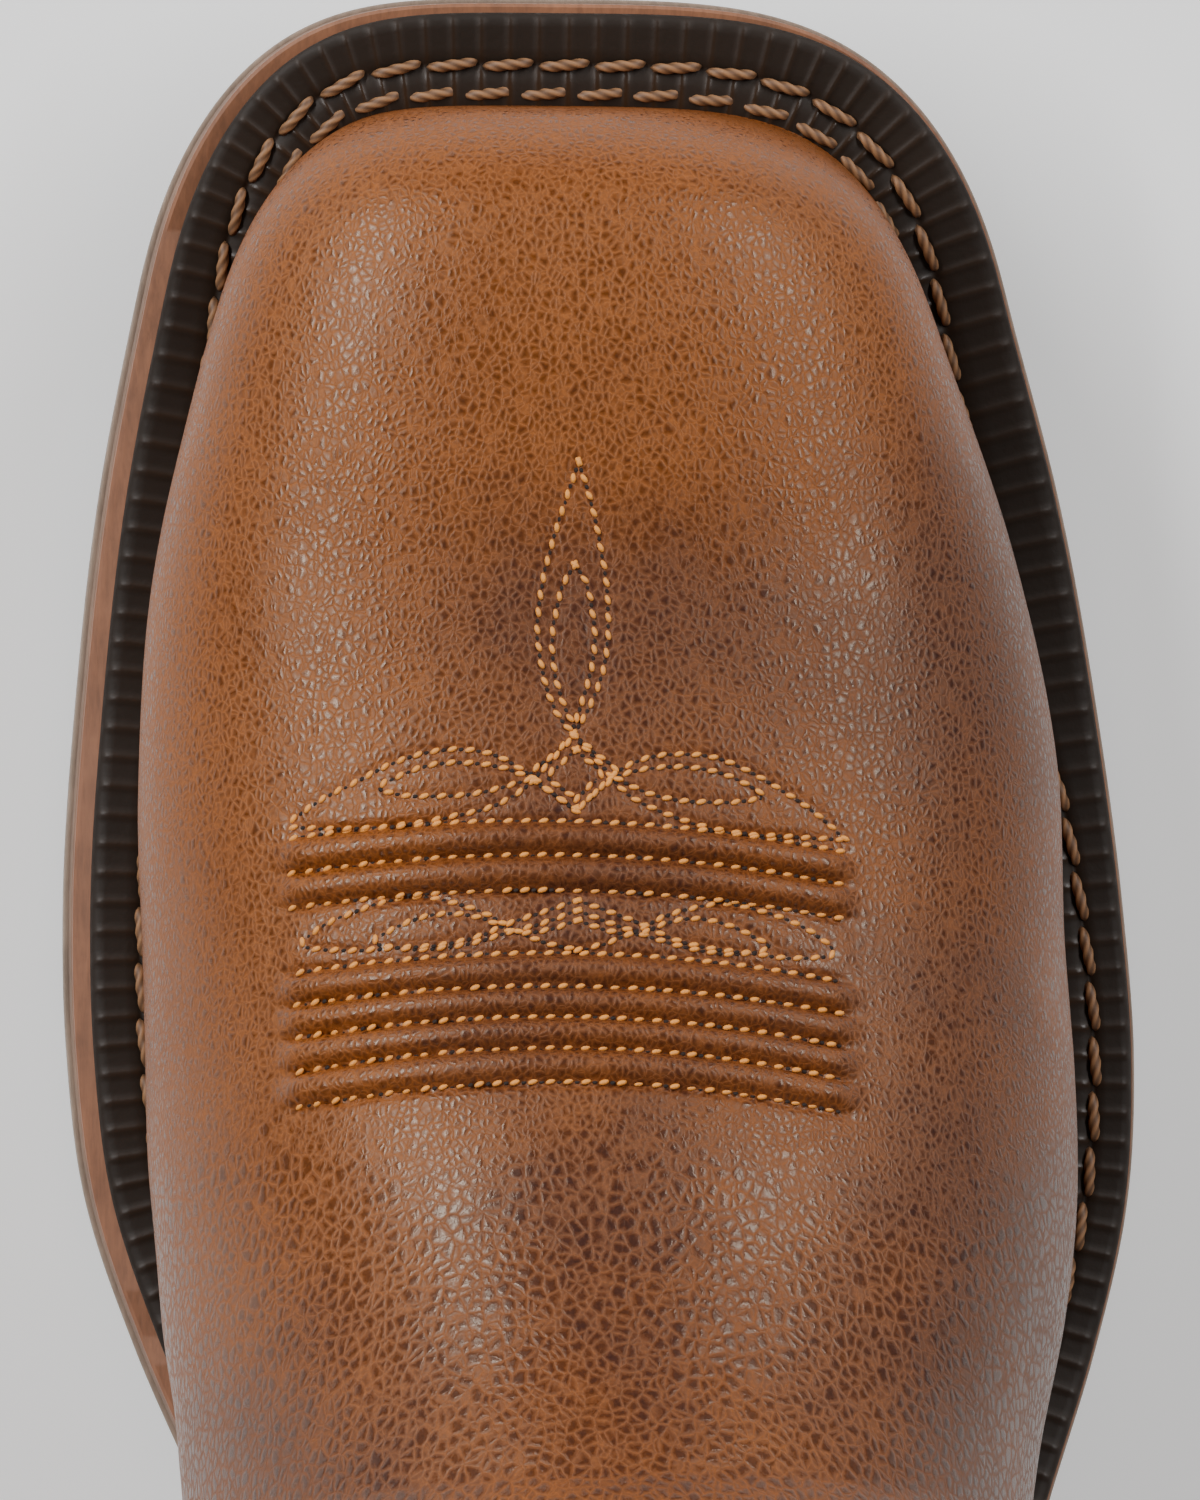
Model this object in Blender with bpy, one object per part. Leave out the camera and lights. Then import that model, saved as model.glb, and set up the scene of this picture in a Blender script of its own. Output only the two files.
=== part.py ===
"""Western work boot for the right foot, built from separate solids at real size.

The toe points along +Y, the outer side of the foot along +X, and up is +Z.
The origin is on the floor, under the middle of the whole boot.  Sizes are in metres.
"""

from math import pi

import bmesh
import bpy
import numpy as np

MM = 0.001

# Driving sizes of the sole
SOLE_LENGTH = 312 * MM
BALL_WIDTH = 115 * MM
TOE_SPRING = 14.5 * MM
HEEL_RISE = 22.5 * MM
LUG_DEPTH = 3.5 * MM
OUTSOLE_THICKNESS = 5.5 * MM
MIDSOLE_THICKNESS = 5.0 * MM
WELT_THICKNESS = 2.9 * MM
INSOLE_THICKNESS = 3.2 * MM
HEEL_LIFT_HEIGHT = 9.0 * MM
EDGE_FLARE = 1.7 * MM
EDGE_GROOVE = 0.7 * MM
EDGE_ROUND = 0.8 * MM
WELT_ROUND = 0.6 * MM
INSOLE_SLOPE = 2.2 * MM
BLOCK_INSET = 1.5 * MM
BLOCK_TAPER = 1.1 * MM
LIFT_INSET = 2.0 * MM
HEEL_LUG_INSET = 3.0 * MM

# Driving sizes of the upper
FOOT_RISE = 75.0 * MM
SHAFT_RISE = 188.5 * MM
SIDE_LIFT = 20.0 * MM
WALL = 2.4 * MM
VAMP_STEP = 1.2 * MM
COUNTER_THICKNESS = 1.5 * MM
BINDING_THICKNESS = 1.0 * MM
BINDING_DEPTH = 8.0 * MM
PIPING_WIDTH = 4.0 * MM
PIPING_HEIGHT = 2.2 * MM
STRAP_WIDTH = 28.0 * MM
STRAP_THICKNESS = 1.8 * MM
STRAP_LOOP_RADIUS = 8.0 * MM
STRAP_OUTER_LEG = 42.0 * MM
STRAP_INNER_LEG = 34.0 * MM
STRAP_LOOP_LIFT = 10.0 * MM

# Clearances and meshing
GAP = 0.3 * MM
INSOLE_CLEARANCE = 0.5 * MM
MERGE = 0.01 * MM
LUG_ROOT = 1.0 * MM

# Shape of the rounded ends of the sole, as shares of its length and exponents
HEEL_ROUND = 0.115
TOE_START = 0.90
TOE_POWER = 2.6
TOE_SQUARENESS = 0.26
TOE_CENTRE = -0.07
BREAST = 0.245
BREAST_BOW = 4.0 * MM
INSTEP_ALONG = 0.5128

STACK = LUG_DEPTH + OUTSOLE_THICKNESS + MIDSOLE_THICKNESS + WELT_THICKNESS + 3 * GAP


def table(columns, *rows):
    """A table read by column name; the first column says where each row lies."""
    return dict(zip(columns.split(), np.array(rows, float).T))


# Half widths of the sole from heel to toe, as shares of the ball width
SOLE_PLAN = table(
    "along medial lateral",
    (0.00, 0.305, 0.300),
    (0.06, 0.312, 0.306),
    (0.12, 0.318, 0.314),
    (0.20, 0.312, 0.318),
    (0.28, 0.288, 0.316),
    (0.35, 0.270, 0.328),
    (0.42, 0.290, 0.358),
    (0.49, 0.372, 0.418),
    (0.54, 0.432, 0.463),
    (0.59, 0.478, 0.494),
    (0.64, 0.496, 0.500),
    (0.69, 0.500, 0.4895),
    (0.76, 0.4895, 0.4635),
    (0.83, 0.4695, 0.426),
    (0.90, 0.435, 0.372),
    (1.00, 0.374, 0.296),
)

# Height of the tread over the floor: shares of the heel rise and of the toe spring
UNDERSIDE = table(
    "along heel toe",
    (0.00, 1.00, 0.00),
    (0.16, 1.00, 0.00),
    (0.22, 0.98, 0.00),
    (0.27, 0.93, 0.00),
    (0.31, 0.86, 0.00),
    (0.38, 0.665, 0.00),
    (0.44, 0.43, 0.00),
    (0.50, 0.205, 0.00),
    (0.548, 0.06, 0.00),
    (0.60, 0.00, 0.00),
    (0.74, 0.00, 0.00),
    (0.80, 0.00, 0.09),
    (0.87, 0.00, 0.31),
    (0.92, 0.00, 0.55),
    (1.00, 0.00, 1.00),
)

# How far the upper's foot line stands in from the sole's edge, as shares of the ball width
FEATHER = table(
    "along inset",
    (0.00, 0.030),
    (0.15, 0.038),
    (0.30, 0.060),
    (0.45, 0.080),
    (0.65, 0.082),
    (0.80, 0.079),
    (0.93, 0.098),
    (1.00, 0.112),
)

# The back seam: height as a share of its climb, and how far it comes forward, share of length
BACK_SEAM = table(
    "climb forward",
    (0.000, 0.0000),
    (0.083, -0.0040),
    (0.164, -0.0005),
    (0.266, 0.0112),
    (0.348, 0.0192),
    (0.450, 0.0176),
    (0.613, 0.0096),
    (0.776, 0.0032),
    (1.000, 0.0016),
)

# Stations of the upper from toe to collar.  along, rise: the front line, as a share of the
# sole's length, and as heights where 1 is the instep and 2 the collar.  base: 0 to 1 along
# the foot line, 1 to 2 up the back seam.  crest: sideways place of the front line.  outer_m,
# outer_l: stand beyond the foot line in the foot.  half_m, half_l: half widths from the
# instep up.  All three are shares of the ball width.  widest: height of the widest place as
# a share of the section.  squareness: exponent of the curve over the top.
STATIONS = table(
    "station along rise base crest outer_m outer_l half_m half_l widest squareness",
    (0, 0.9647, 0.000, 0.000, -0.070, 0.000, 0.000, 0.050, 0.050, 0.36, 2.3),
    (1, 0.9535, 0.193, 0.042, -0.068, 0.004, 0.002, 0.120, 0.080, 0.36, 2.35),
    (2, 0.9295, 0.332, 0.084, -0.062, 0.008, 0.003, 0.260, 0.200, 0.36, 2.4),
    (3, 0.8910, 0.417, 0.131, -0.055, 0.012, -0.003, 0.370, 0.300, 0.35, 2.45),
    (4, 0.8462, 0.469, 0.170, -0.050, 0.013, 0.000, 0.410, 0.340, 0.34, 2.45),
    (5, 0.7949, 0.511, 0.224, -0.045, 0.014, 0.000, 0.430, 0.370, 0.33, 2.4),
    (6, 0.7372, 0.572, 0.281, -0.042, 0.009, 0.001, 0.440, 0.400, 0.32, 2.3),
    (7, 0.6763, 0.643, 0.340, -0.040, 0.003, -0.012, 0.445, 0.413, 0.31, 2.2),
    (8, 0.6154, 0.753, 0.401, -0.038, 0.021, -0.008, 0.443, 0.420, 0.30, 2.1),
    (9, 0.5577, 0.884, 0.464, -0.034, 0.071, 0.011, 0.436, 0.405, 0.30, 2.05),
    (10, 0.5128, 1.000, 0.533, -0.030, 0.125, 0.030, 0.420, 0.382, 0.30, 2.0),
    (11, 0.4808, 1.059, 0.617, -0.025, 0.170, 0.060, 0.396, 0.366, 0.31, 2.0),
    (12, 0.4615, 1.120, 0.725, -0.020, 0.140, 0.060, 0.367, 0.353, 0.32, 2.0),
    (13, 0.4487, 1.178, 0.824, -0.015, 0.100, 0.060, 0.355, 0.345, 0.34, 2.0),
    (14, 0.4401, 1.234, 0.915, -0.012, 0.100, 0.100, 0.348, 0.340, 0.36, 2.0),
    (15, 0.4343, 1.284, 1.000, -0.010, 0.200, 0.200, 0.340, 0.335, 0.39, 2.0),
    (16, 0.4295, 1.348, 1.095, -0.008, 0.300, 0.300, 0.335, 0.333, 0.42, 2.0),
    (17, 0.4253, 1.412, 1.190, -0.006, 0.300, 0.300, 0.335, 0.335, 0.44, 2.0),
    (18, 0.4221, 1.497, 1.307, -0.004, 0.300, 0.300, 0.343, 0.343, 0.46, 2.0),
    (19, 0.4202, 1.603, 1.450, -0.002, 0.300, 0.300, 0.365, 0.365, 0.48, 2.0),
    (20, 0.4202, 1.735, 1.625, 0.000, 0.300, 0.300, 0.395, 0.395, 0.49, 2.0),
    (21, 0.4231, 1.868, 1.817, 0.000, 0.300, 0.300, 0.420, 0.420, 0.50, 2.0),
    (22, 0.4295, 2.000, 2.000, 0.000, 0.300, 0.300, 0.435, 0.435, 0.50, 2.0),
)
# The midsole's edge from its underside up: inset, height as a share of its thickness
MIDSOLE_EDGE = (
    (-0.35 * MM, 0.00),
    (-0.10 * MM, 0.33),
    (0.00, 0.43),
    (EDGE_GROOVE, 0.52),
    (EDGE_GROOVE, 0.63),
    (0.00, 0.72),
    (0.20 * MM, 1.00),
)

COLLAR = 22
HEEL_STATION = 15
SPREAD_ENDS = 9
HALVES_START = 12
ROUND_STARTS = 13
LIFT_STARTS = 19

# The seam between vamp and shaft, in stations at the foot line and at the front line
SEAM_BASE = 12.4
SEAM_FRONT = 15.8
SEAM_BEND = 1.6
SEAM_GAP = 0.02
COUNTER_SETBACK = 0.35
COUNTER_TOP = 18.3
COUNTER_FALL = 0.62
COUNTER_END = 0.16
PIPING_TOP = 20.1
PIPING_SETBACK = 0.1

MEDIAL, LATERAL = -1, 1
HEEL_POINTS = 7
SIDE_POINTS = 20
TOE_POINTS = 9
VAMP_ROWS = 26
TOE_CROWDING = 0.15
COUNTER_LOW_ROWS = 5
COUNTER_HIGH_ROWS = 6
SHAFT_ROWS = 5
PIPING_ROWS = 9
PIPING_ARC = 7
PIPING_EDGE = 0.25  # height of the bead's edge as a share of its full height
BREAST_ARC = 5
STRAP_COLUMNS = 5
STRAP_OUTER_ROWS = 5
STRAP_INNER_ROWS = 4
STRAP_LOOP_ROWS = 11
STRAP_LOOP_PAST = 0.22  # how far the loop closes below level, as a share of half a turn
STRAP_LEG_START = 0.1  # where the legs start below the collar, as a share of their length
TURNS = 8

# Tread pattern: rows of lugs as shares of the sole's length, places across as shares of
# the half width.  Chevron is how far a lug's inner end lies behind its outer end.
LUG_ROWS = 11
LUG_FIRST = 0.475
LUG_LAST = 0.925
LUG_SHARE = 0.64
LUG_BARS = (
    # inner, outer, chevron, shift
    (0.56, 0.95, 0.006, 0.0),
    (0.06, 0.46, 0.012, 0.5),
)
HEEL_LUG_ROWS = 4
HEEL_LUG_FIRST = 0.045
HEEL_LUG_LAST = 0.205

COLOURS = {
    "tan_leather": ((0.30, 0.12, 0.045, 1), 0.55),
    "lining_leather": ((0.48, 0.33, 0.20, 1), 0.75),
    "edge_leather": ((0.22, 0.12, 0.07, 1), 0.65),
    "welt_leather": ((0.05, 0.028, 0.022, 1), 0.6),
    "sole_rubber": ((0.10, 0.075, 0.06, 1), 0.8),
    "heel_stack": ((0.17, 0.09, 0.05, 1), 0.6),
}


def smooth(rows, column, at, bound=False):
    """A column as a cubic curve through its rows.  With bound it never passes them."""
    place = rows[next(iter(rows))]
    value = rows[column]
    run = np.diff(place)
    secant = np.diff(value) / run
    slope = np.gradient(value, place)
    if bound:
        product = secant[1:] * secant[:-1]
        total = secant[1:] + secant[:-1]
        safe = np.where(total == 0, 1, total)
        slope[1:-1] = np.where(product > 0, 2 * product / safe, 0)
        slope[0], slope[-1] = secant[0], secant[-1]
    at = np.clip(at, place[0], place[-1])
    k = np.clip(np.searchsorted(place, at, side="right") - 1, 0, len(run) - 1)
    t = (at - place[k]) / run[k]
    rise = value[k + 1] - value[k]
    return (
        value[k]
        + run[k] * slope[k] * (t - 2 * t**2 + t**3)
        + rise * (3 * t**2 - 2 * t**3)
        + run[k] * slope[k + 1] * (t**3 - t**2)
    )


def ease(x):
    """0 below 0, 1 above 1, and a soft step between."""
    x = np.clip(x, 0, 1)
    return x * x * (3 - 2 * x)


def underside(y):
    """Height of the tread's lowest level over the floor at a place along the sole."""
    along = y / SOLE_LENGTH + 0.5
    heel = smooth(UNDERSIDE, "heel", along, bound=True)
    toe = smooth(UNDERSIDE, "toe", along, bound=True)
    return HEEL_RISE * heel + TOE_SPRING * toe


def plan_alongs(fine=1):
    """Places along the sole, closer together where the ends turn."""
    heel = HEEL_ROUND * (1 - np.cos(np.linspace(0, pi / 2, HEEL_POINTS * fine + 1)))
    side = np.linspace(HEEL_ROUND, TOE_START, SIDE_POINTS * fine + 1)
    width = np.cos(np.linspace(0, pi / 2, TOE_POINTS * fine + 1))
    share = (1 - width ** (1 / TOE_SQUARENESS)) ** (1 / TOE_POWER)
    toe = TOE_START + (1 - TOE_START) * share
    return np.concatenate([heel, side[1:], toe[1:]])


def sole_side(along, side):
    """Sideways place of the sole's edge on one side."""
    column = "medial" if side == MEDIAL else "lateral"
    half = smooth(SOLE_PLAN, column, along)
    back = np.clip(1 - along / HEEL_ROUND, 0, 1)
    front = np.clip((along - TOE_START) / (1 - TOE_START), 0, 1)
    heel_factor = np.sqrt(1 - back**2)
    toe_factor = np.clip(1 - front**TOE_POWER, 0, 1) ** TOE_SQUARENESS
    centre = TOE_CENTRE * side
    return side * BALL_WIDTH * (centre + (half * heel_factor - centre) * toe_factor)


def loop(inset, fine=1):
    """The sole's outline moved in by inset: heel, medial side, toe, lateral side.

    The move is along the outline's own normal, and inset may differ from point to point.
    """
    along = plan_alongs(fine)
    y = (along - 0.5) * SOLE_LENGTH
    medial = np.stack([sole_side(along, MEDIAL), y], 1)
    lateral = np.stack([sole_side(along, LATERAL), y], 1)
    points = np.concatenate([medial, lateral[-2:0:-1]])
    step = np.roll(points, -1, 0) - np.roll(points, 1, 0)
    normal = np.stack([step[:, 1], -step[:, 0]], 1)
    normal /= np.linalg.norm(normal, axis=1, keepdims=True)
    return points + normal * np.reshape(inset, (-1, 1))


def feather_inset(fine=1):
    """The foot line's distance in from the sole's edge, for each point of the loop."""
    along = plan_alongs(fine)
    along = np.concatenate([along, along[-2:0:-1]])
    return BALL_WIDTH * smooth(FEATHER, "inset", along)


def at_level(points, level):
    """Plan points lifted to a level over the tread's own curve."""
    return np.column_stack([points, underside(points[:, 1]) + level])


def foot_line(side):
    """The upper's foot line on one side, from toe to heel, with shares of its length."""
    points = at_level(loop(feather_inset(4), 4), STACK)
    count = len(plan_alongs(4))
    if side == MEDIAL:
        line = points[:count][::-1]
    else:
        line = np.concatenate([points[count - 1 :], points[:1]])
    run = np.linalg.norm(np.diff(line, axis=0), axis=1)
    share = np.concatenate([[0], np.cumsum(run)])
    return share / share[-1], line


FOOT_LINES = {side: foot_line(side) for side in (MEDIAL, LATERAL)}
SEAT = underside((INSTEP_ALONG - 0.5) * SOLE_LENGTH) + STACK
COLLAR_HEIGHT = SEAT + FOOT_RISE + SHAFT_RISE


def base_point(side, share):
    """Where a section starts: on the foot line, and past share 1 on the back seam."""
    shares, line = FOOT_LINES[side]
    foot = [np.interp(np.clip(share, 0, 1), shares, line[:, k]) for k in range(3)]
    climb = np.clip(share - 1, 0, 1)
    forward = smooth(BACK_SEAM, "forward", climb) * SOLE_LENGTH
    height = (COLLAR_HEIGHT - line[-1, 2]) * climb
    return foot[0], foot[1] + forward, foot[2] + height


def ridge_point(station):
    """The front line: the crest of vamp, instep and shaft front."""
    shares, line = FOOT_LINES[MEDIAL]
    along = smooth(STATIONS, "along", station)
    rise = smooth(STATIONS, "rise", station)
    y = (along - 0.5) * SOLE_LENGTH
    tip = line[0, 1] - (STATIONS["along"][0] - 0.5) * SOLE_LENGTH
    y = y + tip * np.clip(1 - station, 0, 1)
    seat = underside(np.maximum(y, (INSTEP_ALONG - 0.5) * SOLE_LENGTH)) + STACK
    foot = FOOT_RISE * np.minimum(rise, 1)
    shaft = SHAFT_RISE * np.maximum(rise - 1, 0)
    return smooth(STATIONS, "crest", station) * BALL_WIDTH, y, seat + foot + shaft


def form(station, turn, side):
    """The upper's outer form.  turn is 0 at the base and 2 at the crest.

    Each section lies in the plane through its base point, its crest and the sideways axis.
    Its side swells from the base to the widest place, then a superellipse closes the top.
    """
    station, turn = np.broadcast_arrays(np.asarray(station, float), turn)
    base_x, base_y, base_z = base_point(side, smooth(STATIONS, "base", station))
    crest_x, crest_y, crest_z = ridge_point(station)
    base_out, crest_out = side * base_x, side * crest_x
    letter = "m" if side == MEDIAL else "l"
    beyond = base_out + smooth(STATIONS, "outer_" + letter, station) * BALL_WIDTH
    half = smooth(STATIONS, "half_" + letter, station) * BALL_WIDTH
    mix = ease((station - SPREAD_ENDS) / (HALVES_START - SPREAD_ENDS))
    wide = beyond + (half - beyond) * mix
    widest = smooth(STATIONS, "widest", station)
    power = smooth(STATIONS, "squareness", station)
    rounding = ease((station - ROUND_STARTS) / (HEEL_STATION - ROUND_STARTS))
    # The split between side and top keeps the turn's speed over the surface even.
    pace = pi / 2 + (1 - pi / 2) * rounding
    split = 2 * widest / (widest + pace * (1 - widest))
    low = np.clip(turn / split, 0, 1) * pi / 2
    high = np.clip((turn - split) / (2 - split), 0, 1) * pi / 2
    low_out = base_out + (wide - base_out) * np.sin(low)
    low_share = low / (pi / 2)
    low_share = low_share + (1 - np.cos(low) - low_share) * rounding
    radius = (np.cos(high) ** power + np.sin(high) ** power) ** (-1 / power)
    high_out = crest_out + (wide - crest_out) * radius * np.cos(high)
    top = turn > split
    out = np.where(top, high_out, low_out)
    share = np.where(top, widest + (1 - widest) * radius * np.sin(high), widest * low_share)
    lift = SIDE_LIFT * ease((station - LIFT_STARTS) / (COLLAR - LIFT_STARTS))
    lift = lift * (out / np.maximum(wide, MM)) ** 2
    x = side * out
    y = base_y + (crest_y - base_y) * share
    z = base_z + (crest_z - base_z) * share + lift
    return np.stack([x, y, z], -1)


def form_normal(station, turn, side):
    """Outward normal of the form, level along the foot line and at the collar."""
    station, turn = np.broadcast_arrays(np.asarray(station, float), turn)
    step = 0.02
    ahead = form(np.minimum(station + step, COLLAR), turn, side)
    behind = form(np.maximum(station - step, 0), turn, side)
    above = form(station, np.minimum(turn + step, 2), side)
    below = form(station, np.maximum(turn - step, 0), side)
    normal = side * np.cross(above - below, ahead - behind)
    pole = station < step
    normal[pole] = (0, 1, 0)
    at_base = turn < step
    at_back = at_base & (station > HEEL_STATION - step)
    normal[(at_base & (station < HEEL_STATION + step)) | (station > COLLAR - step), 2] = 0
    normal[at_back | (turn > 2 - step), 0] = 0
    return normal / np.linalg.norm(normal, axis=-1, keepdims=True)


def skin(station, turn, side, out=0.0):
    """The form moved out along its normal by out, its foot kept level with the welt."""
    station, turn = np.broadcast_arrays(np.asarray(station, float), turn)
    out = np.broadcast_to(out, station.shape)[..., None]
    points = form(station, turn, side) + form_normal(station, turn, side) * out
    foot = ((turn == 0) & (station <= HEEL_STATION)) | (station == 0)
    points[foot, 2] = underside(points[foot, 1]) + STACK
    return points


def material(name):
    """A plain finish for one of the boot's materials."""
    found = bpy.data.materials.get(name)
    if found:
        return found
    colour, roughness = COLOURS[name]
    made = bpy.data.materials.new(name)
    made.use_nodes = True
    shader = made.node_tree.nodes["Principled BSDF"]
    shader.inputs["Base Color"].default_value = colour
    shader.inputs["Roughness"].default_value = roughness
    shader.inputs["Metallic"].default_value = 0.0
    return made


def solid(name, finish, points, faces, collection="western_work_boot"):
    """A closed mesh object from points and faces, doubles merged and normals outward."""
    mesh = bpy.data.meshes.new(name)
    mesh.from_pydata([tuple(p) for p in points], [], faces)
    work = bmesh.new()
    work.from_mesh(mesh)
    bmesh.ops.remove_doubles(work, verts=work.verts, dist=MERGE)
    bmesh.ops.dissolve_degenerate(work, edges=work.edges, dist=MERGE)
    bmesh.ops.recalc_face_normals(work, faces=work.faces)
    work.to_mesh(mesh)
    work.free()
    mesh.shade_smooth()
    mesh.set_sharp_from_angle(angle=pi / 6)
    mesh.materials.append(material(finish))
    made = bpy.data.objects.new(name, mesh)
    bpy.data.collections[collection].objects.link(made)
    return made


def grid_faces(rows, columns, start=0, closed_rows=False, closed_columns=False):
    """Quads over a grid of points stored row by row."""
    faces = []
    for i in range(rows if closed_rows else rows - 1):
        for j in range(columns if closed_columns else columns - 1):
            a = start + i * columns + j
            b = start + i * columns + (j + 1) % columns
            c = start + (i + 1) % rows * columns + (j + 1) % columns
            d = start + (i + 1) % rows * columns + j
            faces.append((a, b, c, d))
    return faces


def strip_cap(count, start):
    """Faces across a loop, joining each medial point to the lateral point beside it."""
    half = count // 2
    faces = []
    for k in range(half):
        left, right = start + (count - k) % count, start + (count - k - 1)
        face = (start + k, start + k + 1, right, left)
        faces.append(tuple(dict.fromkeys(face)))
    return faces


def slab(name, finish, rings):
    """A full layer of the sole: rings of (inset, level) from the bottom up, then capped."""
    layers = [at_level(loop(inset), level) for inset, level in rings]
    count = len(layers[0])
    faces = grid_faces(len(layers), count, closed_columns=True)
    faces += strip_cap(count, 0)
    faces += strip_cap(count, count * (len(layers) - 1))
    return solid(name, finish, np.concatenate(layers), faces)


def ring(name, finish, rings):
    """A frame of the sole: rings of (inset, level) round its cross-section."""
    layers = [at_level(loop(inset), level) for inset, level in rings]
    faces = grid_faces(len(layers), len(layers[0]), closed_rows=True, closed_columns=True)
    return solid(name, finish, np.concatenate(layers), faces)


def lug_corners(start, end, bar, side, plan):
    """Plan corners of one lug, inner end swept back by its chevron."""
    inner, outer, chevron = bar
    corners = []
    for along, across in ((start, inner), (start, outer), (end, outer), (end, inner)):
        if across == inner:
            along = along - chevron
        corners.append((plan(along, side) * across, (along - 0.5) * SOLE_LENGTH))
    return corners


def lug_blocks(name, first, last, rows, plan, floor):
    """All the lugs of one tread as prisms that reach a little into the plate above."""
    points, faces = [], []
    pitch = (last - first) / rows
    for row in range(rows):
        for *bar, shift in LUG_BARS:
            start = first + (row + shift) * pitch
            end = start + LUG_SHARE * pitch
            if end > last:
                continue
            for side in (MEDIAL, LATERAL):
                corners = lug_corners(start, end, bar, side, plan)
                low = [(x, y, floor(y)) for x, y in corners]
                high = [(x, y, z + LUG_DEPTH + LUG_ROOT) for x, y, z in low]
                faces += prism_faces(len(points))
                points += low + high
    blocks = solid(name, "sole_rubber", points, faces, "helpers")
    blocks.hide_render = True
    blocks.display_type = "WIRE"
    return blocks


def prism_faces(start):
    """The six faces of a block from its four low corners and the four above them."""
    low = [start + k for k in range(4)]
    high = [k + 4 for k in low]
    sides = [(low[k - 1], low[k], high[k], high[k - 1]) for k in range(4)]
    return [tuple(low), tuple(reversed(high))] + sides


def join_lugs(plate, blocks):
    """The lugs become one body with their plate."""
    union = plate.modifiers.new("lugs", "BOOLEAN")
    union.operation = "UNION"
    union.solver = "EXACT"
    union.object = blocks


def build_outsole():
    """Rubber plate over the whole length, with lugs under the forepart."""
    low, high = LUG_DEPTH, LUG_DEPTH + OUTSOLE_THICKNESS
    rings = [(EDGE_ROUND, low), (0, low + EDGE_ROUND), (0, high - EDGE_ROUND / 2), (EDGE_ROUND / 2, high)]
    plate = slab("outsole", "sole_rubber", rings)

    def inside(along, side):
        return sole_side(along, side) - side * EDGE_FLARE

    blocks = lug_blocks("lug_blocks", LUG_FIRST, LUG_LAST, LUG_ROWS, inside, underside)
    join_lugs(plate, blocks)


def build_midsole():
    """Leather layer whose edge has a groove under a thin upper lip."""
    low = LUG_DEPTH + OUTSOLE_THICKNESS + GAP
    outer = EDGE_FLARE / 2
    profile = [(inset + outer, low + MIDSOLE_THICKNESS * share) for inset, share in MIDSOLE_EDGE]
    slab("midsole", "edge_leather", profile)


def build_welt_and_insole():
    """The stitched frame the upper stands on, and the insole with its filling inside it."""
    low = LUG_DEPTH + OUTSOLE_THICKNESS + MIDSOLE_THICKNESS + 2 * GAP
    high = low + WELT_THICKNESS
    inner = feather_inset() + WALL + VAMP_STEP
    edge = EDGE_FLARE
    rings = [(edge, low), (edge, high - WELT_ROUND), (edge + WELT_ROUND, high), (inner, high), (inner, low)]
    ring("welt", "welt_leather", rings)
    inner = inner + INSOLE_CLEARANCE
    rings = [(inner, low), (inner, high + GAP), (inner + INSOLE_SLOPE, high + INSOLE_THICKNESS)]
    slab("insole", "lining_leather", rings)


def heel_loop(inset, floor):
    """The heel's outline: round the back, then across the breast, which bows in."""
    points = loop(inset)
    count = len(plan_alongs())
    last = int(np.searchsorted(plan_alongs(), BREAST)) - 1
    medial = points[:count]
    lateral = np.concatenate([points[:1], points[: count - 2 : -1]])
    breast = (BREAST - 0.5) * SOLE_LENGTH
    corners = [(np.interp(breast, edge[:, 1], edge[:, 0]), breast) for edge in (medial, lateral)]
    left, right = np.array(corners)
    across = np.linspace(0, 1, BREAST_ARC + 2)[1:-1, None]
    front = left + (right - left) * across
    front[:, 1] -= BREAST_BOW * (4 * across * (1 - across))[:, 0]
    outline = np.concatenate(
        [medial[: last + 1], [left], front, [right], lateral[last:0:-1]]
    )
    return np.column_stack([outline, floor(outline[:, 1])])


def heel_piece(name, finish, rings):
    """A layer of the heel from rings of (inset, height function), bottom to top."""
    layers = [heel_loop(inset, floor) for inset, floor in rings]
    count = len(layers[0])
    faces = grid_faces(len(layers), count, closed_columns=True)
    faces.append(tuple(range(count)))
    top = count * (len(layers) - 1)
    faces.append(tuple(range(top, top + count)))
    return solid(name, finish, np.concatenate(layers), faces)


def build_heel():
    """Stacked block under the heel seat, and the lugged rubber lift that it walks on."""

    def flat(height):
        return lambda y: np.full_like(y, height)

    def seat(y):
        return underside(y) + LUG_DEPTH - GAP

    rings = [(BLOCK_INSET + BLOCK_TAPER, flat(HEEL_LIFT_HEIGHT + GAP)), (BLOCK_INSET, seat)]
    heel_piece("heel_block", "heel_stack", rings)
    rings = [
        (LIFT_INSET + EDGE_ROUND, flat(LUG_DEPTH)),
        (LIFT_INSET, flat(LUG_DEPTH + EDGE_ROUND)),
        (LIFT_INSET, flat(HEEL_LIFT_HEIGHT)),
    ]
    lift = heel_piece("heel_lift", "sole_rubber", rings)

    def inside(along, side):
        return sole_side(along, side) - side * HEEL_LUG_INSET

    def ground(y):
        return 0.0

    ends = (HEEL_LUG_FIRST, HEEL_LUG_LAST)
    join_lugs(lift, lug_blocks("heel_lug_blocks", *ends, HEEL_LUG_ROWS, inside, ground))


def seam_station(turn):
    """The vamp's edge: low and forward at the foot line, high at the front."""
    return SEAM_BASE + (SEAM_FRONT - SEAM_BASE) * (np.asarray(turn) / 2) ** SEAM_BEND


def counter_edges(turn):
    """Stations of the counter's front edge, behind the vamp's seam, and of its top edge."""
    front = seam_station(turn) + COUNTER_SETBACK
    fall = np.exp(-((np.asarray(turn) / COUNTER_FALL) ** 2))
    return front, front + (COUNTER_TOP - front[0]) * (COUNTER_END + (1 - COUNTER_END) * fall)


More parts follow.
